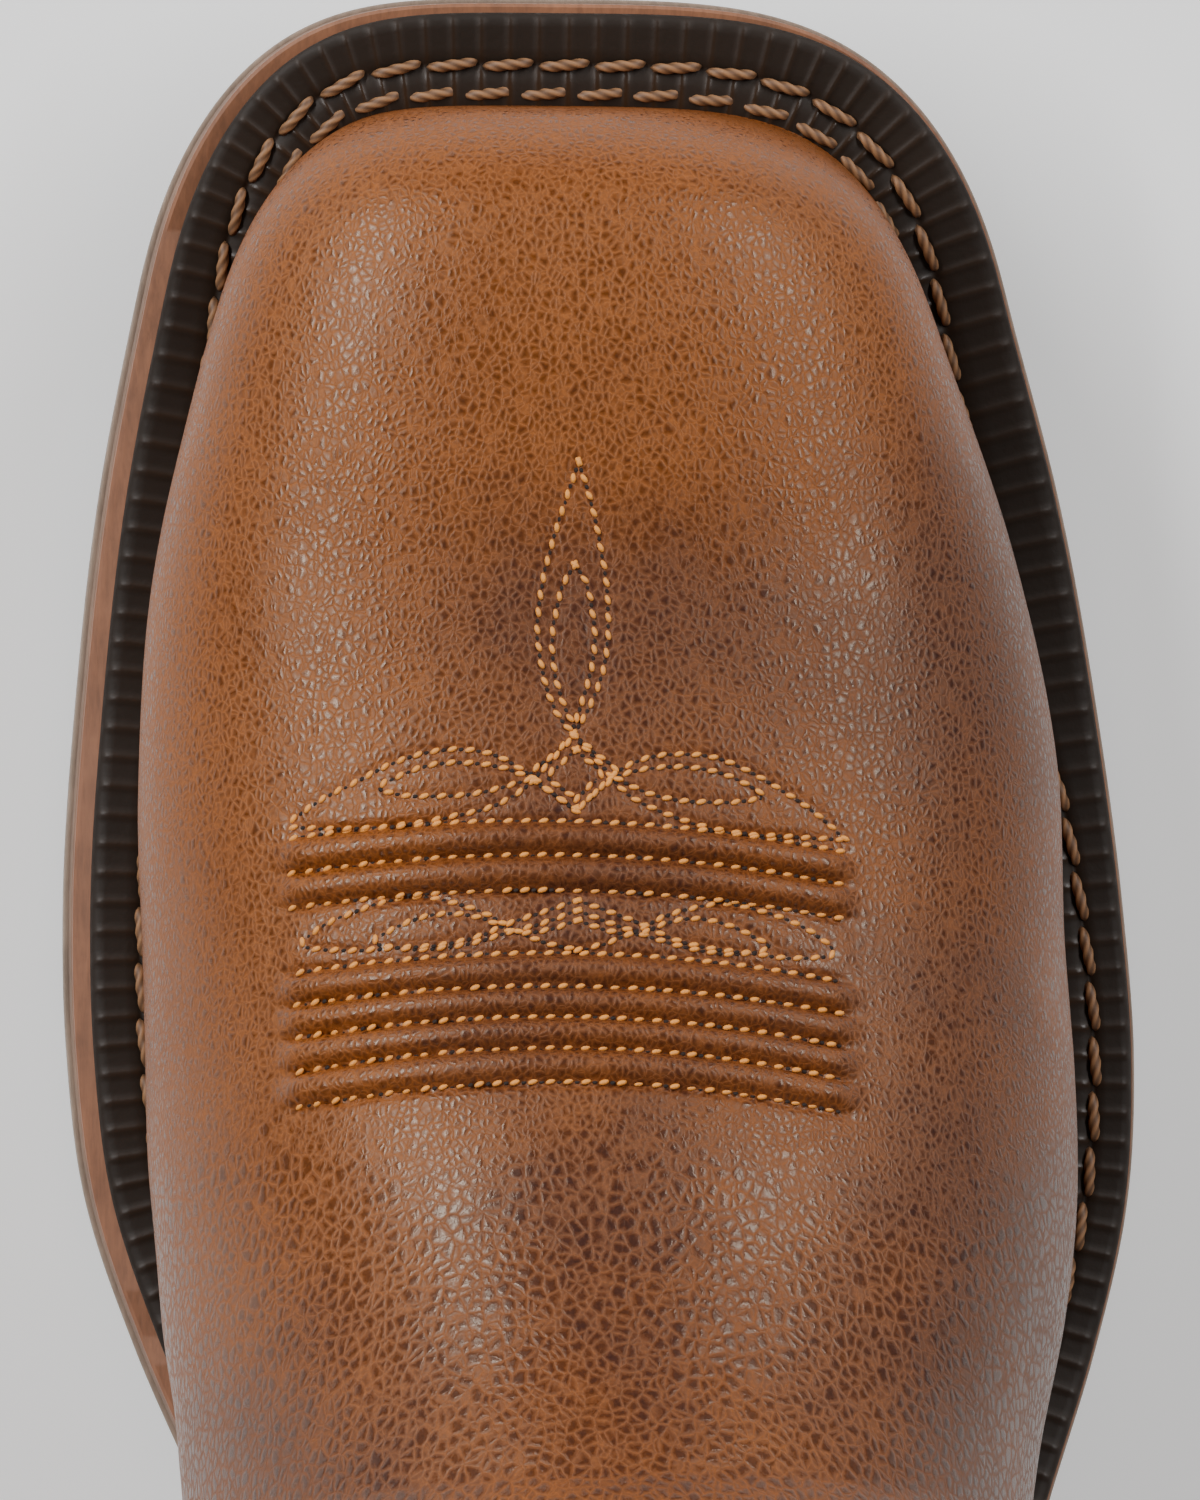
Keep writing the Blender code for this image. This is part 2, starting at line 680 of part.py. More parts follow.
def upper_rows(turn):
    """Stations of each row of the vamp, of the counter's stretch and of the leg above it.

    The counter's stretch has a row at the heel's back, where the open foot line ends, and
    its rows serve the shaft and the counter alike.
    """
    seam = seam_station(turn)
    front, top = counter_edges(turn)
    toe = np.linspace(0, 1, VAMP_ROWS + 1)[:, None]
    vamp = (toe - TOE_CROWDING * toe * (1 - toe)) * seam
    corner = (HEEL_STATION - SEAM_BASE - COUNTER_SETBACK) / (COUNTER_TOP - SEAM_BASE - COUNTER_SETBACK)
    below = np.linspace(0, corner, COUNTER_LOW_ROWS + 1)
    share = np.concatenate([below, np.linspace(corner, 1, COUNTER_HIGH_ROWS + 1)[1:]])
    counter = front + (top - front) * share[:, None]
    leg = top + (COLLAR - top) * np.linspace(0, 1, SHAFT_ROWS + 1)[1:, None]
    return vamp, counter, leg


def build_upper():
    """The vamp, and the shaft's front and back, which meet at the side seams."""
    turn = np.linspace(0, 2, 2 * TURNS + 1)
    vamp = upper_rows(turn)[0]
    build_panel("vamp", vamp, turn, VAMP_STEP, VAMP_ROWS, far_open=False, ends=("last",))
    apart = GAP / 2 / side_run()
    back, front = turn[: TURNS + 1].copy(), turn[TURNS:].copy()
    back[-1] -= apart
    front[0] += apart
    foot_rows = 1 + COUNTER_LOW_ROWS
    for name, part, foot, far_open in (
        ("shaft_back", back, foot_rows, True),
        ("shaft_front", front, None, False),
    ):
        start = (seam_station(part) + SEAM_GAP)[None]
        station = np.concatenate([start, *upper_rows(part)[1:]])
        build_panel(name, station, part, 0.0, foot, far_open, ("first", "last"))


def build_panel(name, station, turn, step, foot_rows, far_open, ends):
    """One leather panel of the upper on both sides of the foot, as a wall of even thickness."""
    points, faces = [], []
    rows = len(station) - 1 if foot_rows is None else foot_rows
    for side in (MEDIAL, LATERAL):
        outer = skin(station, turn[None, :], side, step)
        inner = skin(station, turn[None, :], side, -WALL)
        add_wall(points, faces, outer, inner, rows, far_open, ends)
    solid(name, "tan_leather", np.concatenate(points), faces)


def add_wall(points, faces, outer, inner, open_rows, far_open, ends):
    """One side of a hollow wall: two skins, and rims wherever the wall has an open edge.

    open_rows counts the cells whose first column is an open edge.  far_open says that the
    last column is one too, and is not shared with the other side.
    """
    rows, columns = outer.shape[:2]
    shift = rows * columns
    start = len(points) * shift
    points += [outer.reshape(-1, 3), inner.reshape(-1, 3)]
    faces += grid_faces(rows, columns, start)
    faces += grid_faces(rows, columns, start + shift)
    rims = [(start + i * columns, start + (i + 1) * columns) for i in range(open_rows)]
    if far_open:
        far = start + columns - 1
        rims += [(far + i * columns, far + (i + 1) * columns) for i in range(rows - 1)]
    for end in ends:
        first = start + (rows - 1) * columns if end == "last" else start
        rims += [(first + j, first + j + 1) for j in range(columns - 1)]
    faces += [(a, b, b + shift, a + shift) for a, b in rims]


def build_counter():
    """Leather counter round the heel, cut between two larger forms of the upper."""
    turn = np.linspace(0, 2, 2 * TURNS + 1)[: TURNS + 1]
    station = upper_rows(turn)[1]
    points, faces = [], []
    for side in (MEDIAL, LATERAL):
        outer = skin(station, turn[None, :], side, GAP + COUNTER_THICKNESS)
        inner = skin(station, turn[None, :], side, GAP)
        add_wall(points, faces, outer, inner, COUNTER_LOW_ROWS, True, ("first", "last"))
    solid("heel_counter", "tan_leather", np.concatenate(points), faces)


def build_binding():
    """Thin strip folded over the collar's edge, all the way round."""
    turn = np.linspace(0, 2, 2 * TURNS + 1)
    drop = BINDING_DEPTH / (SHAFT_RISE * (STATIONS["rise"][-1] - STATIONS["rise"][-2]))
    foot = COLLAR - drop
    thick = GAP + BINDING_THICKNESS
    profile = [
        (foot, GAP, 0),
        (COLLAR, GAP, GAP),
        (COLLAR, -WALL - GAP, GAP),
        (foot, -WALL - GAP, 0),
        (foot, -WALL - thick, 0),
        (COLLAR, -WALL - thick, thick),
        (COLLAR, thick, thick),
        (foot, thick, 0),
    ]
    lines = []
    for side in (MEDIAL, LATERAL):
        columns = []
        for station, out, up in profile:
            line = skin(np.full_like(turn, station), turn, side, out)
            line[:, 2] += up
            columns.append(line)
        columns = np.stack(columns, 1)
        lines.append(columns if side == MEDIAL else columns[-2:0:-1])
    points = np.concatenate(lines)
    faces = grid_faces(*points.shape[:2], closed_rows=True, closed_columns=True)
    solid("collar_binding", "tan_leather", points.reshape(-1, 3), faces)


def build_piping(side, name):
    """Half-round bead down the side seam, from below the pull strap to the vamp."""
    reach = PIPING_WIDTH / 2 / side_run()
    low = counter_edges(np.array([0, 1 - 2 * reach]))[1][1] + PIPING_SETBACK
    station = np.linspace(low, PIPING_TOP, PIPING_ROWS)
    across = np.cos(np.linspace(pi, 0, PIPING_ARC))
    turn = 1 + across * reach
    dome = GAP + PIPING_HEIGHT * (PIPING_EDGE + (1 - PIPING_EDGE) * np.sqrt(1 - across**2))
    over = skin(station[:, None], turn[None, :], side, dome[None, :])
    under = skin(station[:, None], turn[None, :: PIPING_ARC // 2], side, GAP)[:, ::-1]
    points = np.concatenate([over, under], 1)
    rows, columns = points.shape[:2]
    faces = grid_faces(rows, columns, closed_columns=True)
    faces.append(tuple(range(columns)))
    faces.append(tuple(range((rows - 1) * columns, rows * columns)))
    solid(name, "edge_leather", points.reshape(-1, 3), faces)


def side_run():
    """Length round the shaft that one unit of turn covers at its side."""
    depth = (STATIONS["along"][-1] * SOLE_LENGTH) - base_point(MEDIAL, 2.0)[1] - SOLE_LENGTH / 2
    return abs(depth) * STATIONS["widest"][-1] * pi / 2


def build_pull_strap(side, name):
    """Pull strap: an outer leg, a loop that stands over the collar and an inner leg."""
    reach = STRAP_WIDTH / 2 / side_run()
    turn = 1 + np.linspace(-1, 1, STRAP_COLUMNS) * reach
    rim = skin(np.full_like(turn, COLLAR), turn, side)
    normal = form_normal(np.full_like(turn, COLLAR), turn, side)
    lay = 2 * GAP + BINDING_THICKNESS
    half = STRAP_THICKNESS / 2
    outer_at = lay + half
    inner_at = -WALL - lay - half
    drop_per_station = SHAFT_RISE * (STATIONS["rise"][-1] - STATIONS["rise"][-2])
    centre_out = (outer_at + inner_at) / 2
    centre_up = GAP + BINDING_THICKNESS + STRAP_LOOP_LIFT
    path = []
    for share in np.linspace(1, STRAP_LEG_START, STRAP_OUTER_ROWS):
        station = COLLAR - share * STRAP_OUTER_LEG / drop_per_station
        path.append(skin(np.full_like(turn, station), turn, side, outer_at))
    past = STRAP_LOOP_PAST * pi
    for angle in np.linspace(-past, pi + past, STRAP_LOOP_ROWS):
        out = centre_out + STRAP_LOOP_RADIUS * np.cos(angle)
        up = centre_up + STRAP_LOOP_RADIUS * np.sin(angle)
        path.append(rim + normal * out + np.array([0, 0, up]))
    for share in np.linspace(STRAP_LEG_START, 1, STRAP_INNER_ROWS):
        station = COLLAR - share * STRAP_INNER_LEG / drop_per_station
        path.append(skin(np.full_like(turn, station), turn, side, inner_at))
    path = np.array(path)
    tangent = np.gradient(path, axis=0)
    along_rim = np.gradient(path, axis=1)
    across = np.cross(tangent, along_rim)
    across /= np.linalg.norm(across, axis=-1, keepdims=True)
    section = np.concatenate([path + across * half, (path - across * half)[:, ::-1]], 1)
    rows, columns = section.shape[:2]
    faces = grid_faces(rows, columns, closed_columns=True)
    faces.append(tuple(range(columns)))
    faces.append(tuple(range((rows - 1) * columns, rows * columns)))
    solid(name, "tan_leather", section.reshape(-1, 3), faces)


def clear_scene():
    """Starts from an empty scene with one collection for the boot and one for helpers."""
    for item in list(bpy.data.objects):
        bpy.data.objects.remove(item)
    for name in ("western_work_boot", "helpers"):
        made = bpy.data.collections.new(name)
        bpy.context.scene.collection.children.link(made)


def main():
    clear_scene()
    build_outsole()
    build_midsole()
    build_welt_and_insole()
    build_heel()
    build_upper()
    build_counter()
    build_binding()
    for side, word in ((MEDIAL, "medial"), (LATERAL, "lateral")):
        build_piping(side, "side_piping_" + word)
        build_pull_strap(side, "pull_strap_" + word)


main()
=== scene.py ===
from math import pi

import bmesh
import bpy
import numpy as np
from mathutils import Matrix


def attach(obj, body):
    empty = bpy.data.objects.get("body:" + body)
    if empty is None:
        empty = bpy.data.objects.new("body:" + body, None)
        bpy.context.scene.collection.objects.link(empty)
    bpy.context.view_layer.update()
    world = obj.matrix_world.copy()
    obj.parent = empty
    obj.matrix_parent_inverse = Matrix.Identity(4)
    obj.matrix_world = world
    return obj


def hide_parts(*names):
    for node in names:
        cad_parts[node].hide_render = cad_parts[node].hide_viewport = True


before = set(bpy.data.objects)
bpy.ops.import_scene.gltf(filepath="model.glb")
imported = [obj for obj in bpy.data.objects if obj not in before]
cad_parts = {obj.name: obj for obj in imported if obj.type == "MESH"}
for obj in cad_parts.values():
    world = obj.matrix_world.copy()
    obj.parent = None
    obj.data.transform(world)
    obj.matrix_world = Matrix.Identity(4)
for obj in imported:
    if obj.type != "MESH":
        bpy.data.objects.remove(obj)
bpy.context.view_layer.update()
print("frame loaded")

# The boot's form, with the same sizes and tables as the CAD model, in metres.
# +Y runs to the toe, +X to the outer side of the foot and +Z up.
mm = 0.001

# Driving sizes of the sole
soleLength = 312 * mm
ballWidth = 115 * mm
toeSpring = 14.5 * mm
heelRise = 22.5 * mm
lugDepth = 3.5 * mm
outsoleThickness = 5.5 * mm
midsoleThickness = 5.0 * mm
weltThickness = 2.9 * mm
edgeFlare = 1.7 * mm

# Driving sizes of the upper
footRise = 75.0 * mm
shaftRise = 188.5 * mm
sideLift = 20.0 * mm
vampStep = 1.2 * mm
counterThickness = 1.5 * mm
bindingThickness = 1.0 * mm
bindingDepth = 8.0 * mm
pipingWidth = 4.0 * mm
pipingHeight = 2.2 * mm
strapWidth = 28.0 * mm
strapThickness = 1.8 * mm
strapLoopRadius = 8.0 * mm
strapOuterLeg = 42.0 * mm
strapInnerLeg = 34.0 * mm
wall = 2.4 * mm

# Clearances and meshing
gap = 0.3 * mm
lugRoot = 1.0 * mm
lastDetail = 12  # points of the foot line for each one of the CAD model's
edgeDetail = 24  # the same for the sole's edge
formStep = 0.02  # step in station or turn over which a slope is measured

# Shape of the rounded ends of the sole, as shares of its length and exponents
heelRound = 0.115
toeStart = 0.90
toePower = 2.6
toeSquareness = 0.26
toeCentre = -0.07
breastAlong = 0.245
instepAlong = 0.5128
weltFoot = lugDepth + outsoleThickness + midsoleThickness + 2 * gap
stackHeight = weltFoot + weltThickness + gap


def table(columns, *rows):
    # A table read by column name; the first column says where each row lies
    return dict(zip(columns.split(), np.array(rows, float).T))


# Half widths of the sole from heel to toe, as shares of the ball width
solePlan = table(
    "along medial lateral",
    (0.00, 0.305, 0.300),
    (0.06, 0.312, 0.306),
    (0.12, 0.318, 0.314),
    (0.20, 0.312, 0.318),
    (0.28, 0.288, 0.316),
    (0.35, 0.270, 0.328),
    (0.42, 0.290, 0.358),
    (0.49, 0.372, 0.418),
    (0.54, 0.432, 0.463),
    (0.59, 0.478, 0.494),
    (0.64, 0.496, 0.500),
    (0.69, 0.500, 0.4895),
    (0.76, 0.4895, 0.4635),
    (0.83, 0.4695, 0.426),
    (0.90, 0.435, 0.372),
    (1.00, 0.374, 0.296),
)

# Height of the tread over the floor: shares of the heel rise and of the toe spring
undersideTable = table(
    "along heel toe",
    (0.00, 1.00, 0.00),
    (0.16, 1.00, 0.00),
    (0.22, 0.98, 0.00),
    (0.27, 0.93, 0.00),
    (0.31, 0.86, 0.00),
    (0.38, 0.665, 0.00),
    (0.44, 0.43, 0.00),
    (0.50, 0.205, 0.00),
    (0.548, 0.06, 0.00),
    (0.60, 0.00, 0.00),
    (0.74, 0.00, 0.00),
    (0.80, 0.00, 0.09),
    (0.87, 0.00, 0.31),
    (0.92, 0.00, 0.55),
    (1.00, 0.00, 1.00),
)

# How far the upper's foot line stands in from the sole's edge, as shares of the ball width
featherTable = table(
    "along inset",
    (0.00, 0.030),
    (0.15, 0.038),
    (0.30, 0.060),
    (0.45, 0.080),
    (0.65, 0.082),
    (0.80, 0.079),
    (0.93, 0.098),
    (1.00, 0.112),
)

# The back seam: height as a share of its climb, and how far it comes forward, share of length
backSeam = table(
    "climb forward",
    (0.000, 0.0000),
    (0.083, -0.0040),
    (0.164, -0.0005),
    (0.266, 0.0112),
    (0.348, 0.0192),
    (0.450, 0.0176),
    (0.613, 0.0096),
    (0.776, 0.0032),
    (1.000, 0.0016),
)

# Stations of the upper from toe to collar.  along, rise: the front line, as a share of the
# sole's length, and as heights where 1 is the instep and 2 the collar.  base: 0 to 1 along
# the foot line, 1 to 2 up the back seam.  crest: sideways place of the front line.  outerM,
# outerL: stand beyond the foot line in the foot.  halfM, halfL: half widths from the
# instep up.  All three are shares of the ball width.  widest: height of the widest place as
# a share of the section.  squareness: exponent of the curve over the top.
stationTable = table(
    "station along rise base crest outerM outerL halfM halfL widest squareness",
    (0, 0.9647, 0.000, 0.000, -0.070, 0.000, 0.000, 0.050, 0.050, 0.36, 2.3),
    (1, 0.9535, 0.193, 0.042, -0.068, 0.004, 0.002, 0.120, 0.080, 0.36, 2.35),
    (2, 0.9295, 0.332, 0.084, -0.062, 0.008, 0.003, 0.260, 0.200, 0.36, 2.4),
    (3, 0.8910, 0.417, 0.131, -0.055, 0.012, -0.003, 0.370, 0.300, 0.35, 2.45),
    (4, 0.8462, 0.469, 0.170, -0.050, 0.013, 0.000, 0.410, 0.340, 0.34, 2.45),
    (5, 0.7949, 0.511, 0.224, -0.045, 0.014, 0.000, 0.430, 0.370, 0.33, 2.4),
    (6, 0.7372, 0.572, 0.281, -0.042, 0.009, 0.001, 0.440, 0.400, 0.32, 2.3),
    (7, 0.6763, 0.643, 0.340, -0.040, 0.003, -0.012, 0.445, 0.413, 0.31, 2.2),
    (8, 0.6154, 0.753, 0.401, -0.038, 0.021, -0.008, 0.443, 0.420, 0.30, 2.1),
    (9, 0.5577, 0.884, 0.464, -0.034, 0.071, 0.011, 0.436, 0.405, 0.30, 2.05),
    (10, 0.5128, 1.000, 0.533, -0.030, 0.125, 0.030, 0.420, 0.382, 0.30, 2.0),
    (11, 0.4808, 1.059, 0.617, -0.025, 0.170, 0.060, 0.396, 0.366, 0.31, 2.0),
    (12, 0.4615, 1.120, 0.725, -0.020, 0.140, 0.060, 0.367, 0.353, 0.32, 2.0),
    (13, 0.4487, 1.178, 0.824, -0.015, 0.100, 0.060, 0.355, 0.345, 0.34, 2.0),
    (14, 0.4401, 1.234, 0.915, -0.012, 0.100, 0.100, 0.348, 0.340, 0.36, 2.0),
    (15, 0.4343, 1.284, 1.000, -0.010, 0.200, 0.200, 0.340, 0.335, 0.39, 2.0),
    (16, 0.4295, 1.348, 1.095, -0.008, 0.300, 0.300, 0.335, 0.333, 0.42, 2.0),
    (17, 0.4253, 1.412, 1.190, -0.006, 0.300, 0.300, 0.335, 0.335, 0.44, 2.0),
    (18, 0.4221, 1.497, 1.307, -0.004, 0.300, 0.300, 0.343, 0.343, 0.46, 2.0),
    (19, 0.4202, 1.603, 1.450, -0.002, 0.300, 0.300, 0.365, 0.365, 0.48, 2.0),
    (20, 0.4202, 1.735, 1.625, 0.000, 0.300, 0.300, 0.395, 0.395, 0.49, 2.0),
    (21, 0.4231, 1.868, 1.817, 0.000, 0.300, 0.300, 0.420, 0.420, 0.50, 2.0),
    (22, 0.4295, 2.000, 2.000, 0.000, 0.300, 0.300, 0.435, 0.435, 0.50, 2.0),
)
collarStation = 22
heelStation = 15
spreadEnds = 9
halvesStart = 12
roundStarts = 13
liftStarts = 19

# The seam between vamp and shaft, in stations at the foot line and at the front line
seamBase = 12.4
seamFront = 15.8
seamBend = 1.6
counterSetback = 0.35
counterTop = 18.3
counterFall = 0.62
counterEnd = 0.16
pipingTop = 20.1
pipingSetback = 0.1
medial, lateral = -1, 1
heelPoints = 7
sidePoints = 20
toePoints = 9

# Tread pattern: rows of lugs as shares of the sole's length, places across as shares of
# the half width.  Chevron is how far a lug's inner end lies behind its outer end.
lugRows = 11
lugFirst = 0.475
lugLast = 0.925
lugShare = 0.64
lugBars = (
    # inner, outer, chevron, shift
    (0.56, 0.95, 0.006, 0.0),
    (0.06, 0.46, 0.012, 0.5),
)


def smooth(rows, column, at, bound=False):
    # A column as a cubic curve through its rows.  With bound it never passes them.
    place = rows[next(iter(rows))]
    value = rows[column]
    run = np.diff(place)
    secant = np.diff(value) / run
    slope = np.gradient(value, place)
    if bound:
        product = secant[1:] * secant[:-1]
        total = secant[1:] + secant[:-1]
        safe = np.where(total == 0, 1, total)
        slope[1:-1] = np.where(product > 0, 2 * product / safe, 0)
        slope[0], slope[-1] = secant[0], secant[-1]
    at = np.clip(at, place[0], place[-1])
    k = np.clip(np.searchsorted(place, at, side="right") - 1, 0, len(run) - 1)
    t = (at - place[k]) / run[k]
    rise = value[k + 1] - value[k]
    return (
        value[k]
        + run[k] * slope[k] * (t - 2 * t**2 + t**3)
        + rise * (3 * t**2 - 2 * t**3)
        + run[k] * slope[k + 1] * (t**3 - t**2)
    )


def ease(x):
    # 0 below 0, 1 above 1, and a soft step between
    x = np.clip(x, 0, 1)
    return x * x * (3 - 2 * x)


def underside(y):
    # Height of the tread's lowest level over the floor at a place along the sole
    along = y / soleLength + 0.5
    heel = smooth(undersideTable, "heel", along, bound=True)
    toe = smooth(undersideTable, "toe", along, bound=True)
    return heelRise * heel + toeSpring * toe


def planAlongs(fine=1):
    # Places along the sole, closer together where the ends turn
    heel = heelRound * (1 - np.cos(np.linspace(0, pi / 2, heelPoints * fine + 1)))
    side = np.linspace(heelRound, toeStart, sidePoints * fine + 1)
    width = np.cos(np.linspace(0, pi / 2, toePoints * fine + 1))
    share = (1 - width ** (1 / toeSquareness)) ** (1 / toePower)
    toe = toeStart + (1 - toeStart) * share
    return np.concatenate([heel, side[1:], toe[1:]])


def soleSide(along, side):
    # Sideways place of the sole's edge on one side
    column = "medial" if side == medial else "lateral"
    half = smooth(solePlan, column, along)
    back = np.clip(1 - along / heelRound, 0, 1)
    front = np.clip((along - toeStart) / (1 - toeStart), 0, 1)
    heelFactor = np.sqrt(1 - back**2)
    toeFactor = np.clip(1 - front**toePower, 0, 1) ** toeSquareness
    centre = toeCentre * side
    return side * ballWidth * (centre + (half * heelFactor - centre) * toeFactor)


def outline(inset, fine=1):
    # The sole's outline moved in by inset: heel, medial side, toe, lateral side.
    # The move is along the outline's own normal, and inset may differ from point to point.
    along = planAlongs(fine)
    y = (along - 0.5) * soleLength
    left = np.stack([soleSide(along, medial), y], 1)
    right = np.stack([soleSide(along, lateral), y], 1)
    points = np.concatenate([left, right[-2:0:-1]])
    step = np.roll(points, -1, 0) - np.roll(points, 1, 0)
    normal = np.stack([step[:, 1], -step[:, 0]], 1)
    normal /= np.linalg.norm(normal, axis=1, keepdims=True)
    return points + normal * np.reshape(inset, (-1, 1))


def featherInset(fine=1):
    # The foot line's distance in from the sole's edge, for each point of the loop
    along = planAlongs(fine)
    along = np.concatenate([along, along[-2:0:-1]])
    return ballWidth * smooth(featherTable, "inset", along)


def atLevel(points, level):
    # Plan points lifted to a level over the tread's own curve
    return np.column_stack([points, underside(points[:, 1]) + level])


def footLine(side):
    # The upper's foot line on one side, from toe to heel, with shares of its length
    points = atLevel(outline(featherInset(lastDetail), lastDetail), stackHeight)
    count = len(planAlongs(lastDetail))
    if side == medial:
        line = points[:count][::-1]
    else:
        line = np.concatenate([points[count - 1 :], points[:1]])
    run = np.linalg.norm(np.diff(line, axis=0), axis=1)
    share = np.concatenate([[0], np.cumsum(run)])
    return share / share[-1], line


footLines = {side: footLine(side) for side in (medial, lateral)}
seatHeight = underside((instepAlong - 0.5) * soleLength) + stackHeight
collarHeight = seatHeight + footRise + shaftRise


def basePoint(side, share):
    # Where a section starts: on the foot line, and past share 1 on the back seam
    shares, line = footLines[side]
    foot = [np.interp(np.clip(share, 0, 1), shares, line[:, k]) for k in range(3)]
    climb = np.clip(share - 1, 0, 1)
    forward = smooth(backSeam, "forward", climb) * soleLength
    height = (collarHeight - line[-1, 2]) * climb
    return foot[0], foot[1] + forward, foot[2] + height


def ridgePoint(station):
    # The front line: the crest of vamp, instep and shaft front
    shares, line = footLines[medial]
    along = smooth(stationTable, "along", station)
    rise = smooth(stationTable, "rise", station)
    y = (along - 0.5) * soleLength
    tip = line[0, 1] - (stationTable["along"][0] - 0.5) * soleLength
    y = y + tip * np.clip(1 - station, 0, 1)
    seat = underside(np.maximum(y, (instepAlong - 0.5) * soleLength)) + stackHeight
    foot = footRise * np.minimum(rise, 1)
    shaft = shaftRise * np.maximum(rise - 1, 0)
    return smooth(stationTable, "crest", station) * ballWidth, y, seat + foot + shaft


def form(station, turn, side):
    # The upper's outer form.  turn is 0 at the base and 2 at the crest.
    # Each section lies in the plane through its base point, its crest and the sideways axis.
    # Its side swells from the base to the widest place, then a superellipse closes the top.
    station, turn = np.broadcast_arrays(np.asarray(station, float), turn)
    baseX, baseY, baseZ = basePoint(side, smooth(stationTable, "base", station))
    crestX, crestY, crestZ = ridgePoint(station)
    baseOut, crestOut = side * baseX, side * crestX
    letter = "M" if side == medial else "L"
    beyond = baseOut + smooth(stationTable, "outer" + letter, station) * ballWidth
    half = smooth(stationTable, "half" + letter, station) * ballWidth
    mix = ease((station - spreadEnds) / (halvesStart - spreadEnds))
    wide = beyond + (half - beyond) * mix
    widest = smooth(stationTable, "widest", station)
    power = smooth(stationTable, "squareness", station)
    rounding = ease((station - roundStarts) / (heelStation - roundStarts))
    # The split between side and top keeps the turn's speed over the surface even
    pace = pi / 2 + (1 - pi / 2) * rounding
    split = 2 * widest / (widest + pace * (1 - widest))
    low = np.clip(turn / split, 0, 1) * pi / 2
    high = np.clip((turn - split) / (2 - split), 0, 1) * pi / 2
    lowOut = baseOut + (wide - baseOut) * np.sin(low)
    lowShare = low / (pi / 2)
    lowShare = lowShare + (1 - np.cos(low) - lowShare) * rounding
    radius = (np.cos(high) ** power + np.sin(high) ** power) ** (-1 / power)
    highOut = crestOut + (wide - crestOut) * radius * np.cos(high)
    top = turn > split
    out = np.where(top, highOut, lowOut)
    share = np.where(top, widest + (1 - widest) * radius * np.sin(high), widest * lowShare)
    lift = sideLift * ease((station - liftStarts) / (collarStation - liftStarts))
    lift = lift * (out / np.maximum(wide, mm)) ** 2
    x = side * out
    y = baseY + (crestY - baseY) * share
    z = baseZ + (crestZ - baseZ) * share + lift
    return np.stack([x, y, z], -1)


def formNormal(station, turn, side):
    # Outward normal of the form, level along the foot line and at the collar
    station, turn = np.broadcast_arrays(np.asarray(station, float), turn)
    step = formStep
    ahead = form(np.minimum(station + step, collarStation), turn, side)
    behind = form(np.maximum(station - step, 0), turn, side)
    above = form(station, np.minimum(turn + step, 2), side)
    below = form(station, np.maximum(turn - step, 0), side)
    normal = side * np.cross(above - below, ahead - behind)
    pole = station < step
    normal[pole] = (0, 1, 0)
    atBase = turn < step
    atBack = atBase & (station > heelStation - step)
    normal[(atBase & (station < heelStation + step)) | (station > collarStation - step), 2] = 0
    normal[atBack | (turn > 2 - step), 0] = 0
    return normal / np.linalg.norm(normal, axis=-1, keepdims=True)


def skin(station, turn, side, out=0.0):
    # The form moved out along its normal by out, its foot kept level with the welt
    station, turn = np.broadcast_arrays(np.asarray(station, float), turn)
    out = np.broadcast_to(out, station.shape)[..., None]
    points = form(station, turn, side) + formNormal(station, turn, side) * out
    foot = ((turn == 0) & (station <= heelStation)) | (station == 0)
    points[foot, 2] = underside(points[foot, 1]) + stackHeight
    return points


def seamStation(turn):
    # The vamp's edge: low and forward at the foot line, high at the front
    return seamBase + (seamFront - seamBase) * (np.asarray(turn) / 2) ** seamBend


def counterEdges(turn):
    # Stations of the counter's front edge, behind the vamp's seam, and of its top edge
    front = seamStation(turn) + counterSetback
    fall = np.exp(-((np.asarray(turn) / counterFall) ** 2))
    return front, front + (counterTop - front[0]) * (counterEnd + (1 - counterEnd) * fall)


def sideRun():
    # Length round the shaft that one unit of turn covers at its side
    depth = (stationTable["along"][-1] * soleLength) - basePoint(medial, 2.0)[1] - soleLength / 2
    return abs(depth) * stationTable["widest"][-1] * pi / 2


# Mesh helpers


def gridQuads(rows, columns, start=0, closedRows=False, closedColumns=False):
    # Quads over a grid stored row by row: each joins a point with its next row and column
    i = np.arange(rows if closedRows else rows - 1)[:, None]
    j = np.arange(columns if closedColumns else columns - 1)[None, :]
    nextI, nextJ = (i + 1) % rows * columns, (j + 1) % columns
    here = i * columns
    corners = [here + j, here + nextJ, nextI + nextJ, nextI + j]
    return np.stack(corners, -1).reshape(-1, 4) + start


def addToScene(name, data):
    # A new object with this mesh, lamp or camera
    made = bpy.data.objects.new(name, data)
    bpy.context.scene.collection.objects.link(made)
    return made


